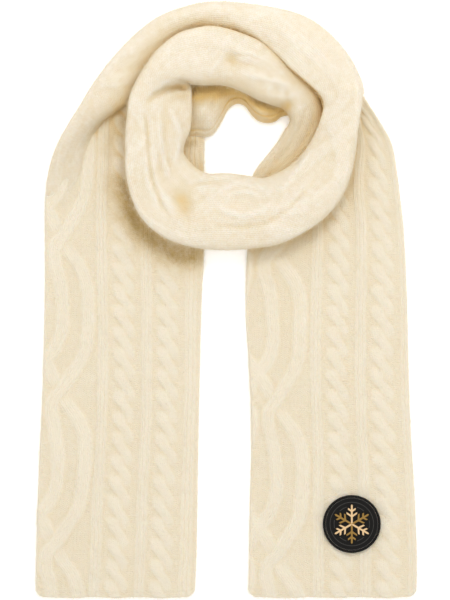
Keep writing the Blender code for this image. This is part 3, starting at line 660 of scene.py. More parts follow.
winding = {
    # each row: outer x, y, inner x, y, base, top, how far the feet reach at both sides, height of the widest
    # place, where the axis of the ovals lies, strength of the pattern
    "rows": (
        (-188.5, 66, -148, 116, 0, 5.5, -2, -1, 0.5, 0, 0.1),
        (-189, 96, -145, 146, 0, 8, -2, -1, 0.5, 0, 0.2),
        (-187.5, 127, -138.5, 172, 0, 12, -2, -1, 0.5, 0, 0.25),
        (-179.3, 157.5, -129, 185.5, 0, 17.5, -3, -1, 0.5, 0, 0.25),
        (-164, 186.5, -119, 193.5, 0, 23.5, -4, -1, 0.5, 0, 0.25),
        (-151.5, 205.5, -112, 199, 0, 27.5, -5, 0, 0.5, 0, 0.3),
        (-137, 229.5, -101.5, 207.5, 0, 31, -5, 2.5, 0.45, 0, 0.35),
        (-113.5, 259, -88, 232.3, 0, 32, -5, 1.2, 0.45, 0.02, 0.3),
        (-80.5, 290.5, -62.7, 262, 0, 32, -5, 2.5, 0.45, 0.04, 0.3),
        (-48.5, 305.5, -40.8, 279.7, 0, 33, -4, 4, 0.45, 0.06, 0.3),
        (-12, 312.5, -12, 283.5, 0, 36, -4, 4.2, 0.45, 0.1, 0.3),
        (30, 309.5, 24.6, 274, 0, 41, -4, 4.5, 0.5, 0.12, 0.3),
        (71.5, 301, 51.1, 257.3, 0, 46, -5, 4.5, 0.55, 0.15, 0.3),
        (97, 288.5, 66.8, 242.1, 0, 49, -6, 4.5, 0.58, 0.18, 0.3),
        (118, 269.5, 79.1, 231.5, 0, 50, -6, 4.5, 0.58, 0.2, 0.3),
        (133.5, 249, 91.5, 221, 0, 50, -6, 5.5, 0.55, 0.22, 0.3),
        (143, 228, 99.6, 212.2, 2, 49, -6, 6, 0.55, 0.25, 0.3),
        (144.5, 217, 102.2, 206.5, 6, 48.5, -5, 5.5, 0.53, 0.27, 0.3),
        (141.5, 198, 102.2, 198.6, 11.6, 48, -5, 1.5, 0.5, 0.32, 0.35),
        (138.5, 178, 98.5, 185, 11.6, 47, -6, -4, 0.5, 0.38, 0.4),
        (137, 158, 90.5, 167.5, 11.6, 46, -6, -5, 0.45, 0.44, 0.4),
        (132, 132, 79, 151, 11.6, 44.5, -6, -5, 0.45, 0.5, 0.4),
        (123, 109, 67, 140, 11.6, 43.5, -6, -5, 0.45, 0.53, 0.35),
        (106, 88, 53.5, 132, 11.6, 42.5, -6, -5, 0.45, 0.56, 0.3),
        (82.5, 70.5, 39.5, 127.5, 11.6, 42, -6, -5, 0.45, 0.6, 0.25),
        (56.5, 58, 26.5, 129, 11.6, 42, -6, -5, 0.45, 0.63, 0.2),
        (28, 53.5, 13, 131, 11.6, 42, -6, -5, 0.45, 0.66, 0.2),
        (-5, 52, -3, 132, 11.6, 41.5, -6, -5, 0.45, 0.66, 0.2),
        (-36, 55, -17, 131.5, 11.6, 41, -6, -5, 0.45, 0.65, 0.25),
        (-63.5, 64.5, -28.5, 136, 11.6, 41, -6, -5, 0.45, 0.64, 0.3),
        (-85, 82.5, -38, 145, 11.6, 41.5, -6, -5, 0.45, 0.63, 0.35),
        (-97.5, 106, -43.5, 154, 11.6, 42, -6, -5, 0.45, 0.62, 0.4),
        (-103.5, 132, -42, 164.5, 11.6, 42.5, -6, -5, 0.45, 0.61, 0.4),
        (-105, 156, -37, 177, 11.6, 43, -6, -4, 0.45, 0.6, 0.4),
        (-104.5, 175, -35, 191, 11.6, 43, -6, -4, 0.45, 0.6, 0.4),
        (-103, 193.5, -35, 209, 11.6, 43, -5, -4, 0.45, 0.6, 0.35),
        (-100.5, 209, -35.5, 222, 8, 44, -3, -4, 0.48, 0.58, 0.3),
        (-97, 220, -38, 226.5, 3, 45.5, 0, -4, 0.52, 0.56, 0.25),
        (-91.5, 232.5, -40, 227.8, 0, 47.5, 1.2, -5, 0.55, 0.54, 0.2),
        (-83.5, 245.5, -39.5, 227, 0, 49, 1, -6, 0.58, 0.52, 0.2),
        (-71, 261.5, -36, 225.5, 0, 50, 1.3, -8, 0.6, 0.5, 0.2),
        (-49.5, 278, -27, 224, 0, 50, 2.3, -9, 0.62, 0.5, 0.2),
        (-24.5, 285, -16, 224, 0, 49, 3, -9, 0.62, 0.5, 0.2),
        (-8, 285, -4.5, 224, 0, 48.5, 3.2, -9, 0.62, 0.51, 0.2),
        (12.5, 279.5, 7, 221.5, 0, 47.5, 3.2, -9, 0.62, 0.52, 0.2),
        (36, 269.5, 19, 216.5, 0, 46, 3, -9, 0.6, 0.53, 0.2),
        (57, 253, 36.5, 208, 0, 44, 3, -9, 0.58, 0.54, 0.2),
        (78.5, 234.5, 50.5, 203, 0, 41, 5, -8, 0.56, 0.55, 0.2),
        (94.6, 218, 61, 199.5, 0, 37, 9, -5, 0.5, 0.56, 0.25),
        (100.6, 200.6, 68, 188, 0, 31.5, 9, -1, 0.42, 0.57, 0.35),
        (102, 181.5, 61.5, 176, 0, 24, 0, -1, 0.42, 0.58, 0.45),
        (95, 160.5, 53.5, 163.5, 0, 17.5, 0, -1, 0.45, 0.59, 0.5),
        (83, 143, 42, 149, 0, 13.5, 0, -1, 0.45, 0.6, 0.5),
        (71, 128, 31, 135, 0, 11, 0, -1, 0.45, 0.6, 0.5),
        (60, 114, 25, 119, 0, 9.5, 0, -1, 0.45, 0.6, 0.5),
    ),
    "folds": (
        # the panel dives under the lip of the inner ring
        (((-84, 203), (-72.2, 213.5), (-59.7, 220.5), (-47.2, 223), (-33, 223)), 3.6, -0.6, 0.12, -10),
        (((-74, 206), (-60, 213.5), (-47, 216), (-33, 216)), 8, -0.6, 0.2, -5),
        # left side of the loop: groove beside the smooth edge, and the ribs of the panel
        (((-85.6, 206), (-82.1, 185.3), (-80.5, 164.5), (-79.2, 143.8), (-75.9, 123), (-67, 100.2),
         (-53.5, 81.5)), 2.6, -1.8, 0.2),
        (((-72.2, 200), (-69, 185.3), (-67, 164.5), (-63.8, 143.8), (-57.6, 120)), 2.8, 2.1, 0.25),
        (((-59.7, 204), (-52.4, 185.3), (-46.8, 172.8), (-49.3, 156.2), (-55.1, 137.5)), 3.2, 2.4, 0.25),
        # front of the loop: strands that swing round the nested oval
        (((-44, 154), (-32.7, 137), (-12, 130), (15, 127), (42, 124)), 6, 1.5, 0.35),
        (((-41, 114.7), (-28.6, 121), (-9.9, 123), (6, 123)), 3, -1.8, 0.4),
        (((-12, 106.4), (-1.6, 117), (15, 121), (33.7, 118.5), (49.3, 108.5)), 3.4, 1.4, 0.35),
        (((-9.9, 102.2), (0.5, 92.3), (19.2, 87.1), (37.9, 91.5), (50.7, 105.2)), 3.4, 1.5, 0.35),
        (((-3.5, 104.4), (8, 111.5), (25.4, 113), (39, 106.4)), 2.2, 1.1, 0.4),
        (((51.4, 108.5), (64.9, 120.9), (79.4, 139.6), (91.8, 160.4)), 3.4, 1.4, 0.3),
        (((-26.5, 85.6), (-5.7, 77.3), (19.2, 75.3), (44.1, 80.5), (64.9, 93.9), (85.6, 114.7),
         (102.2, 139.6)), 2.8, -1, 0.25),
        # inner ring: pinched crease, its ridges and the shade under them
        (((13, 252.8), (27.5, 253.8), (42, 250.1), (56.6, 239.3), (66, 229)), 3.6, 1.1, 0.35),
        (((12, 245), (28, 245), (42, 240)), 4, -1.1, 0.4),
        (((5, 255), (24, 254), (42, 248)), 1.6, -1, 0.3),
        (((15, 236), (33.7, 232), (54.5, 227.4), (74, 223.1)), 3.4, 1.3, 0.35),
        (((46, 221), (58, 216.5), (70, 211.5)), 5, -1.7, 0.35),
        (((2.6, 258), (-7.8, 245.5), (-20, 232)), 2.4, 1, 0.3),
        # right strip, seen through the neck hole
        (((85.6, 204), (79.4, 183.2), (66.9, 160.4), (50.3, 139.6)), 3.2, -0.8, 0.1),
        (((74.2, 189.4), (62.8, 168.7), (48.2, 150), (35.8, 131.3)), 3, -0.5, 0.1),
    ),
    "spots": (
        (-46, 106, 9.5, -2, 0.75),
        (-42, 94, 9.5, -2, 0.8),
        (5, 252, 9, -3.8, 0.25),
        (12, 245, 9, -3, 0.25),
        (65, 203.5, 7, -4, 0.7),
    ),
    # by row: where the section is highest, and how much its inner side slopes down like a bowl
    "peak": ((0, 0.5), (6, 0.45), (9, 0.5), (11, 0.6), (16, 0.6), (18, 0.42), (22, 0.34), (27, 0.32),
        (31, 0.26), (35, 0.26), (38, 0.36), (42, 0.48), (55, 0.5)),
    "bowl": ((0, 0), (14, 0), (18, 0.15), (22, 0.3), (27, 0.38), (31, 0.5), (35, 0.45), (38, 0.1), (41, 0),
        (55, 0)),
    # by row: how much higher the widest place is where two turns press on each other
    "outerSnug": ((0, 0), (37, 0), (38, 0), (41, 0.12), (44, 0.25), (47, 0.28), (49, 0.28), (51, 0.16),
        (52, 0), (53, 0), (55, 0)),
    "innerSnug": ((0, 0), (7, 0), (8, 0), (11, 0.18), (13, 0.3), (16, 0.32), (18, 0.3), (20, 0.15), (22, 0),
        (23, 0), (55, 0)),
    # by row: shade where it leaves the tail, and along the inner lip
    "shadeTone": ((0, 0.1), (3, 0.12), (5, 0.1), (7, 0), (8, 0), (55, 0)),
    "lipShade": ((0, 0), (39, 0), (40, 0), (42, 0.4), (49, 0.4), (51, 0.2), (53, 0), (54, 0), (55, 0)),
    "creaseShade": 4,            # shade of the wool down in the slit between two turns
    "shadeLines": (              # shade on the last stretch alone
        (((62, 188), (52, 176), (38, 158), (14, 131)), 4.5, 0.9, 0.1),
    ),
    "press": 1.5,               # strength of the folds and the pattern
    "seed": 11,
    "along": 398,               # place in the pattern where it begins
    "crossing": 54.5,
    "lip": (0.62, 0.36),        # share across where the inner lip begins, and how wide it is
    "lastStretch": 0.8,         # share of the whole run where the last stretch begins
    "allWarm": 0.1,             # a slightly deeper, yellower tone all over, then painted shade on the ground and in what sinks
    "groundShade": 0.3,
    "sunkShade": 0.4,
    "shelterShade": 2.4,              # how strongly shelter paints shade on it
    "arch": (0.9, 0.85, 1.3),   # roundness across and up, and curve of the bowl
    "spacing": 2,
    "steps": 72,     # over the top of a section
    "waves": ((0.7, 60, 0), (0.3, 20, 5), (0.12, 9, 7)),
    "patternWaves": ((0.8, 45, 3),),
}
# from the widest place down: depth, share of half the width
sideProfile = ((0.35, 0.985), (0.6, 0.955), (0.8, 0.9), (1, 0.8), (1, 0.4), (1, 0.03))
sideSteps = len(sideProfile)


def windingSections(rows, width):
    # outline of every section: from the outer foot up, over the top and down to the inner foot
    base, top, outerFoot, innerFoot, waistShare = rows[:, 4:9].T
    number = rows[:, 11]
    outerSnug, innerSnug = curveAt(winding["outerSnug"], number), curveAt(winding["innerSnug"], number)
    outerWaist = base + (waistShare + outerSnug) * (top - base)
    innerWaist = base + (waistShare + innerSnug) * (top - base)
    angle = math.pi * (1 - np.linspace(0, 1, winding["steps"] + 1))
    archAcross, archUp, bowlCurve = winding["arch"]
    share = 0.5 + 0.5 * np.sign(np.cos(angle)) * np.abs(np.cos(angle)) ** archAcross
    peak = curveAt(winding["peak"], number)[:, None]
    share = share[None, :] ** (np.log(peak) / math.log(0.5))
    crown = np.clip(np.sin(angle), 0, None)[None, :] ** archUp
    slope = np.clip((share - peak) / (1 - peak), 0, None) ** bowlCurve
    crown = crown * (1 - curveAt(winding["bowl"], number)[:, None] * slope)

    def lowSide(profile, sign, foot, waist):
        depth, reach = np.array(profile).T
        across = 0.5 * width[:, None] + (0.5 * width[:, None] + foot[:, None] * depth) * (sign * reach)
        return across, waist[:, None] + (base - waist)[:, None] * depth

    waist = outerWaist[:, None] + (innerWaist - outerWaist)[:, None] * share
    overTop = (share * width[:, None], waist + (top[:, None] - waist) * crown)
    outerLow = lowSide(sideProfile[::-1], -1, outerFoot, outerWaist)
    innerLow = lowSide(sideProfile, 1, innerFoot, innerWaist)
    across, height = [np.concatenate(part, 1) for part in zip(outerLow, overTop, innerLow)]
    onTop = np.pad(np.clip(np.sin(angle), 0, 1) ** 0.5, sideSteps)
    toInner = np.concatenate((np.zeros(outerLow[0].shape), share, np.ones(innerLow[0].shape)), 1)
    snug = np.where(np.arange(len(onTop)) > len(onTop) // 2, innerSnug[:, None], outerSnug[:, None])
    return across, height, onTop, toInner, snug


def buildWinding():
    numbered = [(*row, k) for k, row in enumerate(winding["rows"])]
    rows = fillRows(numbered, winding["spacing"])
    outer, inner, base = rows[:, 0:2], rows[:, 2:4], rows[:, 4]
    axisShare, strength, number = rows[:, 9], rows[:, 10, None], rows[:, 11]
    width = np.linalg.norm(inner - outer, axis=1)
    direction = (inner - outer) / width[:, None]
    across, height, onTop, toInner, snug = windingSections(rows, width)
    run = np.concatenate(([0], np.cumsum(np.linalg.norm(np.diff((outer + inner) / 2, axis=0), axis=1))))
    # arc length from the widest place on the outer side
    stepLength = np.hypot(np.diff(across, axis=1), np.diff(height, axis=1))
    arc = np.pad(np.cumsum(stepLength, axis=1), ((0, 0), (1, 0)))
    arc -= arc[:, sideSteps][:, None]
    crownPart = slice(sideSteps, -sideSteps)
    axisArc = np.array([np.interp(*one) for one in zip(axisShare, toInner[:, crownPart], arc[:, crownPart])])
    along = winding["along"] + np.broadcast_to(run[:, None], arc.shape)

    def inPlan(across):
        return [outer[:, k, None] + direction[:, k, None] * across for k in (0, 1)]

    x, y = inPlan(across)
    fromAxis = arc - axisArc[:, None] + swells(x, y, winding["patternWaves"], winding["seed"])
    relief = knitHeight(fromAxis, along, winding["crossing"])
    lift = (relief * strength + pressFolds(x, y, winding["folds"])) * winding["press"]
    lift += pressSpots(x, y, winding["spots"], "lift") + swells(x, y, winding["waves"], winding["seed"])
    lift *= onTop[None, :]
    # lift along the section's own normal
    da, dh = np.gradient(across, axis=1), np.gradient(height, axis=1)
    size = np.hypot(da, dh) + 1e-9
    x, y = inPlan(across - lift * dh / size)
    grid = np.stack((x, y, np.maximum(height + lift * da / size, base[:, None])), -1)
    quads = gridQuads(*arc.shape)
    flatAcross, flatAlong = fromAxis.ravel(), along.ravel()
    uv = np.stack((flatAcross[quads] / knit["stitch"], flatAlong[quads] / knit["row"]), -1)
    # painted shade on the winding: low ground, sunk places, dimples, where it leaves the tail, the last
    # stretch, the slits between turns and under the inner lip
    hollow = winding["allWarm"] + winding["groundShade"] * strength * (1 - rise(relief / 2.0))
    hollow += winding["sunkShade"] * np.clip(sunkBelow(lift), -0.6, 1.2)
    hollow += pressSpots(x, y, winding["spots"], "shadeTone") + curveAt(winding["shadeTone"], number)[:, None]
    onLast = along > winding["along"] + run[-1] * winding["lastStretch"]
    hollow += pressFolds(x, y, winding["shadeLines"]) * onLast
    hollow += winding["creaseShade"] * snug * (1 - onTop) ** 2
    lipFrom, lipWide = winding["lip"]
    hollow += curveAt(winding["lipShade"], number)[:, None] * rise((toInner - lipFrom) / lipWide)
    shell = (grid.reshape(-1, 3), quads, ())
    piece = layCloth("winding", ringWool, ["outer_band", "front_loop", "inner_ring"], shell, arc.shape,
                     winding["shelterShade"], uv, np.zeros(len(quads)), hollow.ravel(), np.zeros(arc.size))
    girth = (arc[:, -1] - arc[:, 0]).mean()
    print("winding cut", round(girth), "x", round(run[-1]), "mm")
    return piece, girth * mm, run[-1] * mm


windingPiece, cutWidth, cutLength = buildWinding()
print("ring wound")


ruffle = {
    "rows": (   # hidden x, y, edge x, y, edge top, hidden top, bulge
        (-36, 224.5, -37, 172, 9.5, 13, 8),
        (-29, 226, -29, 172.7, 10.5, 15, 11),
        (-21.5, 226.5, -20.6, 172.1, 10.5, 15, 13),
        (-15, 226.5, -14, 174.4, 10.5, 15, 12),
        (-9.5, 226.5, -8.1, 182.3, 10, 15, 8),
        (-5, 226, -2.9, 191.5, 9, 15, 3),
        (-0.5, 225, 1.1, 199.3, 8, 14, 1),
        (5, 224, 6.4, 204.9, 8, 14, 0),
        (12, 222, 14.1, 207.3, 8, 14, 0),
        (19.5, 218.5, 22.1, 204.2, 8, 14, 0),
        (25, 215.5, 27.4, 197, 8.5, 14, 3),
        (31, 212.5, 32.6, 191.1, 9, 14, 6),
        (38, 209.5, 39.1, 187.8, 10, 14, 7),
        (45, 206.5, 46, 187, 10, 14, 6),
        (52, 204, 52.5, 188.7, 9.5, 13, 3),
        (58, 203, 58, 193, 9, 13, 0),
        (64, 204, 63.5, 194.5, 8.5, 12, 0),
        (70, 205, 72, 196.5, 8.5, 12, 0),
    ),
    "folds": (
        (((-14, 218), (-20, 206), (-27, 192), (-31, 182)), 4.5, 2.2, 0.3),
        (((-27, 218), (-31, 205), (-34, 192)), 3, -1, 0.3),
        (((-8, 219), (-11, 205), (-15, 190)), 3, -1.6, 0.3),
        (((12, 219), (13.5, 206)), 4, -1.5, 0.2),
        (((28, 212), (33, 200), (40, 192)), 3, 1.6, 0.3),
        (((45, 205), (47, 196), (50, 190)), 3, -1.4, 0.3),
    ),
    "hemLine": (5.5, 1.1, 1.5),     # mm in from the loose edge, half width, depth
    "rollDown": (1.2, 1.5),         # depth and reach of the rolled edge
    "press": 1,
    "shadeTone": ((-40, 0.35), (-14, 0.25), (-6, 0.55), (6, 1), (50, 1.05), (70, 0.8)),   # by x: shade
    "underRing": 0.9,           # more of it up under the ring
    "ringShade": 0.3,
    "sunkShade": 0.25,
    "hemShade": 0.35,
    "shelterShade": 2.2,              # how strongly shelter paints shade on it
    "spacing": 1.2,
    "steps": 40,                # from the loose edge to the hidden one
    "waves": ((0.5, 22, 0),),
    "seed": 31,
}


def buildRuffle():
    shares = np.linspace(0, 1, ruffle["steps"])
    hemPlace, hemHalf, hemDepth = ruffle["hemLine"]
    rollDepth, rollReach = ruffle["rollDown"]
    grid, hem = [], []
    for row in fillRows(ruffle["rows"], ruffle["spacing"])[::-1]:
        hidden, edge, edgeTop, hiddenTop, bulge = row[0:2], row[2:4], row[4], row[5], row[6]
        far = np.linalg.norm(hidden - edge) * shares
        hem.append(np.exp(-((far - hemPlace) / hemHalf) ** 2))
        z = edgeTop + np.sin(shares * math.pi / 2) * (hiddenTop - edgeTop) + bulge * np.sin(shares * math.pi)
        z -= hemDepth * hem[-1] + rollDepth * np.exp(-far / rollReach)
        grid.append(np.column_stack((edge + (hidden - edge) * shares[:, None], z)))
    grid = np.array(grid)
    x, y = grid[..., 0], grid[..., 1]
    folds = pressFolds(x, y, ruffle["folds"]) * ruffle["press"]
    grid[..., 2] += swells(x, y, ruffle["waves"], ruffle["seed"]) + folds
    shell = slabShell(grid, (3,))
    points, quads = shell[:2]
    uv = points[quads][:, :, :2] / (knit["stitch"] * 0.9, knit["row"])
    # painted shade on the ruffle: by x, in what sinks, along the hem line and up under the ring, with painted
    # shadow under the ring
    hollow = curveAt(ruffle["shadeTone"], points[:, 0])
    sunk = np.clip(sunkBelow(grid[..., 2]), -0.8, 1.0)
    hollow[:x.size] += (ruffle["sunkShade"] * sunk + ruffle["hemShade"] * np.array(hem)).ravel()
    hidden = np.broadcast_to(rise((shares - 0.45) / 0.4), x.shape).ravel()
    hollow[:x.size] += ruffle["underRing"] * hidden
    shade = np.pad(ruffle["ringShade"] * hidden, (0, len(points) - x.size))
    return layCloth("innerRuffle", ringWool, ["inner_ruffle"], shell, x.shape, ruffle["shelterShade"], uv,
                    np.zeros(len(quads)), hollow, shade)


rufflePiece = buildRuffle()
print("loose edges hung")


shelter = {
    "reach": 70,        # mm a ray looks for other cloth
    "close": 3,         # nearer than this is the layer the point lies on
    "rays": 24,
    "every": 4,         # rows and columns between the points that are tried
    "start": 1.2,       # mm above the cloth
    "aside": (0.96, 0.28, 0.0),     # the fan of rays is turned to this side
}


def byPointOf(piece, title):
    values = np.zeros(len(piece.data.vertices), np.float32)
    piece.data.attributes[title].data.foreach_get("value", values)
    return values


def upperFace(cloth):
    rows, columns = cloth["shape"]
    return cloth["points"][:rows * columns].reshape(rows, columns, 3)


def shadeHollows():
    # painted shade: the wool is darker and warmer in tone where other cloth hides the sky from it
    points, faces = [], []
    for cloth in cloths.values():
        coarse = upperFace(cloth)[::2, ::2]
        faces += (gridQuads(*coarse.shape[:2]) + len(points)).tolist()
        points += coarse.reshape(-1, 3).tolist()
    tree = BVHTree.FromPolygons(points, faces)
    reach, rayCount, every = shelter["reach"], shelter["rays"], shelter["every"]
    k = np.arange(rayCount) + 0.5
    out, turn = np.sqrt(k / rayCount), k * math.pi * (3 - math.sqrt(5))
    fan = np.stack((out * np.cos(turn), out * np.sin(turn), np.sqrt(1 - out ** 2)), 1)
    for name, cloth in cloths.items():
        grid, (rows, columns) = upperFace(cloth), cloth["shape"]
        up = np.cross(np.gradient(grid, axis=1), np.gradient(grid, axis=0))
        up /= np.linalg.norm(up, axis=2)[..., None] + 1e-9
        up *= np.sign(up[:, columns // 2, 2].mean())
        i = np.unique(np.append(np.arange(0, rows, every), rows - 1))
        j = np.unique(np.append(np.arange(0, columns, every), columns - 1))
        hidden = np.zeros((len(i), len(j)))
        for a, row in enumerate(i):
            for b, column in enumerate(j):
                normal = up[row, column]
                beside = np.cross(normal, shelter["aside"])
                beside /= np.linalg.norm(beside) + 1e-9
                rays = fan @ np.stack((beside, np.cross(normal, beside), normal))
                start = Vector(grid[row, column] + normal * shelter["start"])
                for ray in rays:
                    distance = tree.ray_cast(start, Vector(ray), reach)[3]
                    if distance is not None and distance > shelter["close"]:
                        hidden[a, b] += 1 - (distance / reach) ** 2
        hidden = softened(hidden / rayCount, 1)
        wide = np.array([np.interp(np.arange(columns), j, line) for line in hidden])
        full = np.array([np.interp(np.arange(rows), i, line) for line in wide.T]).T
        values = byPointOf(cloth["piece"], "hollow")
        values[:full.size] += cloth["shelterShade"] * full.ravel()
        cloth["piece"].data.attributes["hollow"].data.foreach_set("value", values)
        print(name, "sheltered share", round(float(full.mean()), 3))


shadeHollows()
print("hollow shade painted")


fuzz = {
    # mm; facing: lowest and highest slope of the faces it grows on; edgeMore: how much denser at the sides
    "felt": {"length": (3, 8), "lift": (0.3, 1.9), "width": 0.05, "facing": (-0.3, 1.1), "edgeMore": 1.6},
    "halo": {"length": (3, 9), "lift": (1.2, 4.2), "width": 0.05, "facing": (-0.3, 0.6), "edgeMore": 1},
    "bend": (-0.35, 0.35),  # to the side, as a share of the length
    "tipLift": (0.5, 1.3),
    "widths": (0.6, 1.3),
    "rootDepth": 0.2,
    "halfway": (0.45, 0.75, 0.8),   # of the length, the lift and the width
    "tipReach": 0.9,
    "thin": 1,
    "growth": (     # piece, its cloth, kind, fibres, seed
        ("leftTailFuzz", "leftTail", "felt", 36000, 41),
        ("rightTailFuzz", "rightTail", "felt", 36000, 42),
        ("windingFuzz", "winding", "felt", 42000, 43),
        ("ruffleFuzz", "innerRuffle", "felt", 2500, 44),
        ("leftTailHalo", "leftTail", "halo", 5000, 45),
        ("rightTailHalo", "rightTail", "halo", 5000, 46),
        ("windingHalo", "winding", "halo", 14000, 47),
        ("ruffleHalo", "innerRuffle", "halo", 800, 48),
    ),
}


def fibreMaterial():
    # a fibre takes the painted shade and painted shadow of the cloth at its root
    crest = woolLook["crest"]
    material = plainMaterial("fuzzWool", {"Base Color": (*crest, 1.0), "Roughness": 0.9})
    tools = nodeTools(material)
    colour = tools.mixed(tools.noise(60, 3), crest, woolLook["fibre"])
    tones = (("hollow", 0.0, "gutter"), ("hollow", deepFrom, "deep"), ("shade", 0.0, "shadow"))
    for title, start, tone in tones:
        share = tools.sums("SUBTRACT", tools.byPoint(title), start, clamp=True)
        colour = tools.mixed(share, colour, woolLook[tone])
    tools.paint(colour)
    return material


def growFuzz(name, clothName, kind, count, seed):
    # loose fibres on the felted face, as flat strips that taper to a point
    dice = np.random.default_rng(seed)
    look, cloth = fuzz[kind], cloths[clothName]
    quads = cloth["quads"]
    count = round(count * fuzz["thin"])
    corners = cloth["points"][quads]
    normal = np.cross(corners[:, 2] - corners[:, 0], corners[:, 3] - corners[:, 1])
    area = np.linalg.norm(normal, axis=1)
    normal /= area[:, None] + 1e-9
    centre = corners.mean(1)
    lowest, highest = look["facing"]
    seen = (normal[:, 2] > lowest) & (normal[:, 2] < highest) & (centre[:, 2] > 1.0)
    seen &= fromBadge(centre[:, 0], centre[:, 1]) >= badge["radius"] + badge["bareMargin"]
    chance = np.where(seen, area * np.where(normal[:, 2] < 0.5, look["edgeMore"], 1.0), 0)
    pick = dice.choice(len(quads), count, p=chance / chance.sum())
    weights = dice.dirichlet((1.0, 1.0, 1.0, 1.0), count)
    root = (corners[pick] * weights[:, :, None]).sum(1)
    up = normal[pick]
    lie = np.cross(up, dice.normal(size=(count, 3)))
    lie /= np.linalg.norm(lie, axis=1)[:, None]
    beside = np.cross(up, lie)
    spans = (look["length"], look["lift"], fuzz["bend"], fuzz["tipLift"], fuzz["widths"])
    length, lift, bend, tipLift, width = [dice.uniform(*span, count)[:, None] for span in spans]
    partLength, partLift, partWidth = fuzz["halfway"]
    foot = root - up * fuzz["rootDepth"]
    halfway = root + lie * length * partLength + up * lift * partLift
    tip = root + lie * length * fuzz["tipReach"] + beside * bend * length + up * lift * tipLift
    wide = beside * look["width"] * width
    wideHalfway = wide * partWidth
    strip = np.stack((foot - wide, foot + wide, halfway + wideHalfway, halfway - wideHalfway, tip), 1)
    strip[..., 2] = np.maximum(strip[..., 2], 0.2)
    # each strip is a quad and a triangle
    loops = np.arange(count)[:, None] * 5 + (0, 1, 2, 3, 3, 2, 4)
    atRoot = quads[pick, 0]
    shades = {title: np.repeat(byPointOf(cloth["piece"], title)[atRoot], 5) for title in ("hollow", "shade")}
    fibres = smoothPiece(name, strip.reshape(-1, 3), loops.ravel(), [4, 3] * count, shades)
    fibres.data.validate()
    dress(fibres, fuzzWool, [])
    print(name, count * 3, "triangles")


fuzzWool = fibreMaterial()
for row in fuzz["growth"]:
    growFuzz(*row)
print("fuzz grown")


badgeLook = {
    "black": (0.004, 0.004, 0.004),
    "scuffed": (0.011, 0.010, 0.009),
    "line": (0.060, 0.058, 0.054),
    "darkGold": (0.29, 0.165, 0.030),
    "paleGold": (0.72, 0.50, 0.27),
    "gloss": 0.12,
    # scale of the grain, its depth in m, roughness
    "blackGrain": (1500, 0.0003, 0.62),
    "rimGrain": (400, 0.00005, 0.5),
    "lineGrain": (900, 0.00005, 0.6),
    "goldGrain": (900, 0.00012, 0.42),
    "goldMetal": 0.25,
    "circles": (18.6, 22.9, 27.3),  # mm, raised lines on the ground
    "lineHalf": 0.30,
    "lineHeight": 0.22,
    "armReach": 21.5,
    "armHalf": 0.30,                # rad, the arms' share of the inner circle
}


def speckled(name, light, grainLook, finish={}):
    # a tone and its scuffs in a fine cloudy mix, with a little relief
    scale, depth, roughness = grainLook
    material = plainMaterial(name, {"Base Color": (*light, 1.0), "Roughness": roughness, **finish})
    tools = nodeTools(material)
    grain = tools.noise(scale, 3)
    tools.paint(tools.mixed(grain, light, badgeLook["scuffed"]), grain, depth)
    return material


def badgeGold():
    # arms in dark and pale gold by turns
    dark, pale = badgeLook["darkGold"], badgeLook["paleGold"]
    scale, depth, roughness = badgeLook["goldGrain"]
    material = plainMaterial("badgeGold", {
        "Base Color": (*dark, 1.0), "Roughness": roughness, "Metallic": badgeLook["goldMetal"]})
    tools = nodeTools(material)
    sums = tools.sums
    apart = tools.add("SeparateXYZ", {0: tools.place})
    x, y = [sums("SUBTRACT", apart[k], (badge["centre"][k] - middle[k]) * mm) for k in (0, 1)]
    turn = sums("FRACT", sums("DIVIDE", sums("ARCTAN2", y, x), 2 * math.pi / 3))
    colour = tools.mixed(sums("GREATER_THAN", turn, 0.5), dark, pale)
    tools.paint(colour, tools.noise(scale, 3), depth)
    return material


def badgeCircles():
    # fine raised lines round the motif, the inner one broken where the arms cross it
    centreX, centreY = badge["centre"]
    half, gap, low = badgeLook["lineHalf"], badgeLook["armHalf"], badge["discTop"]
    high = low + badgeLook["lineHeight"]
    profile = ((-half, low), (-half * 0.4, high), (half * 0.4, high), (half, low))
    points, quads = [], []
    for radius in badgeLook["circles"]:
        arcs = [(0.0, 2 * math.pi)]
        if radius < badgeLook["armReach"]:
            arms = [math.pi / 6 + math.pi / 3 * k for k in range(6)]
            arcs = [(arm + gap, arm + math.pi / 3 - gap) for arm in arms]
        for first, last in arcs:
            steps = max(8, round((last - first) * 16))
            for k in range(steps + 1):
                turn = first + (last - first) * k / steps
                if k < steps:
                    a = len(points)
                    quads += [(a + j + 4, a + j + 5, a + j + 1, a + j) for j in range(3)]
                for off, z in profile:
                    points.append(((radius + off) * math.cos(turn) + centreX,
                                   (radius + off) * math.sin(turn) + centreY, z))
    quads = np.array(quads)
    return smoothPiece("badgeCircles", np.array(points), quads.ravel(), [4] * len(quads), {})


dull = {"Specular IOR Level": badgeLook["gloss"]}
badgeBlack = speckled("badgeBlack", badgeLook["black"], badgeLook["blackGrain"], dull)
badgeRim = speckled("badgeRim", badgeLook["black"], badgeLook["rimGrain"], dull)
badgeLine = speckled("badgeLine", badgeLook["line"], badgeLook["lineGrain"])
for node, material in (("badge_disc", badgeBlack), ("badge_rim", badgeRim), ("badge_star", badgeGold())):
    for slot in bpy.data.objects[node].material_slots:
        slot.material = material
dress(badgeCircles(), badgeLine, [])
print("badge finished")


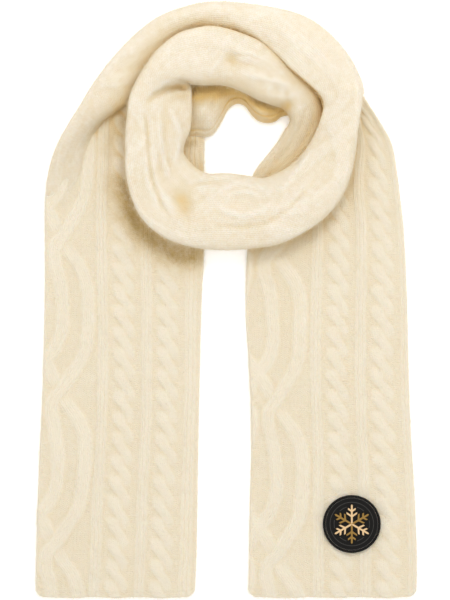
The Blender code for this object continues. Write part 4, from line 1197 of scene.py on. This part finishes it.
studio = {
    "floorHalf": 6,
    "floorZ": -0.0004,
    "floorGlow": 0.28,
    "sky": (1.0, 0.985, 0.955, 1.0),
    "skyStrength": 0.985,
    "keyPlace": (0.22, 1.0, 1.6),
    "keyAim": (0.0, 0.05, 0.0),
    "keySize": 0.6,
    "keyPower": 10.3,
    "keyColour": (1.0, 0.99, 0.98),
    "cameraPlace": (-0.00076, 0.00043, 4.015),
    "seenHeight": 0.630,    # m in view from 4 m away
}

half, floorZ = studio["floorHalf"], studio["floorZ"]
floorMesh = bpy.data.meshes.new("floor")
floorCorners = [(x, y, floorZ) for x, y in ((-half, -half), (half, -half), (half, half), (-half, half))]
floorMesh.from_pydata(floorCorners, [], [(0, 1, 2, 3)])
floor = bpy.data.objects.new("floor", floorMesh)
bpy.context.collection.objects.link(floor)
white = (1.0, 1.0, 1.0, 1.0)
floorMesh.materials.append(plainMaterial("paleFloor", {
    "Base Color": (0.95, 0.95, 0.95, 1.0), "Roughness": 0.9, "Emission Color": white,
    "Emission Strength": studio["floorGlow"]}))

world = bpy.data.worlds.new("studio")
bpy.context.scene.world = world
world.use_nodes = True
sky = world.node_tree.nodes["Background"].inputs
sky[0].default_value = studio["sky"]
sky[1].default_value = studio["skyStrength"]

key = bpy.data.lights.new("keyLight", "AREA")
key.shape = "DISK"
key.size = studio["keySize"]
key.energy = studio["keyPower"]
key.color = studio["keyColour"]
light = bpy.data.objects.new("keyLight", key)
light.location = studio["keyPlace"]
toAim = Vector(studio["keyAim"]) - Vector(studio["keyPlace"])
light.rotation_euler = toAim.to_track_quat("-Z", "Y").to_euler()
bpy.context.collection.objects.link(light)

camera = bpy.data.objects.new("camera", bpy.data.cameras.new("camera"))
camera.data.sensor_fit = "VERTICAL"
camera.data.sensor_height = 36.0
camera.data.lens = 36.0 * 4.0 / studio["seenHeight"]
camera.data.clip_end = 30.0
camera.location = studio["cameraPlace"]
bpy.context.collection.objects.link(camera)
bpy.context.scene.camera = camera
bpy.context.scene.view_settings.view_transform = "Standard"
print("lit and framed")
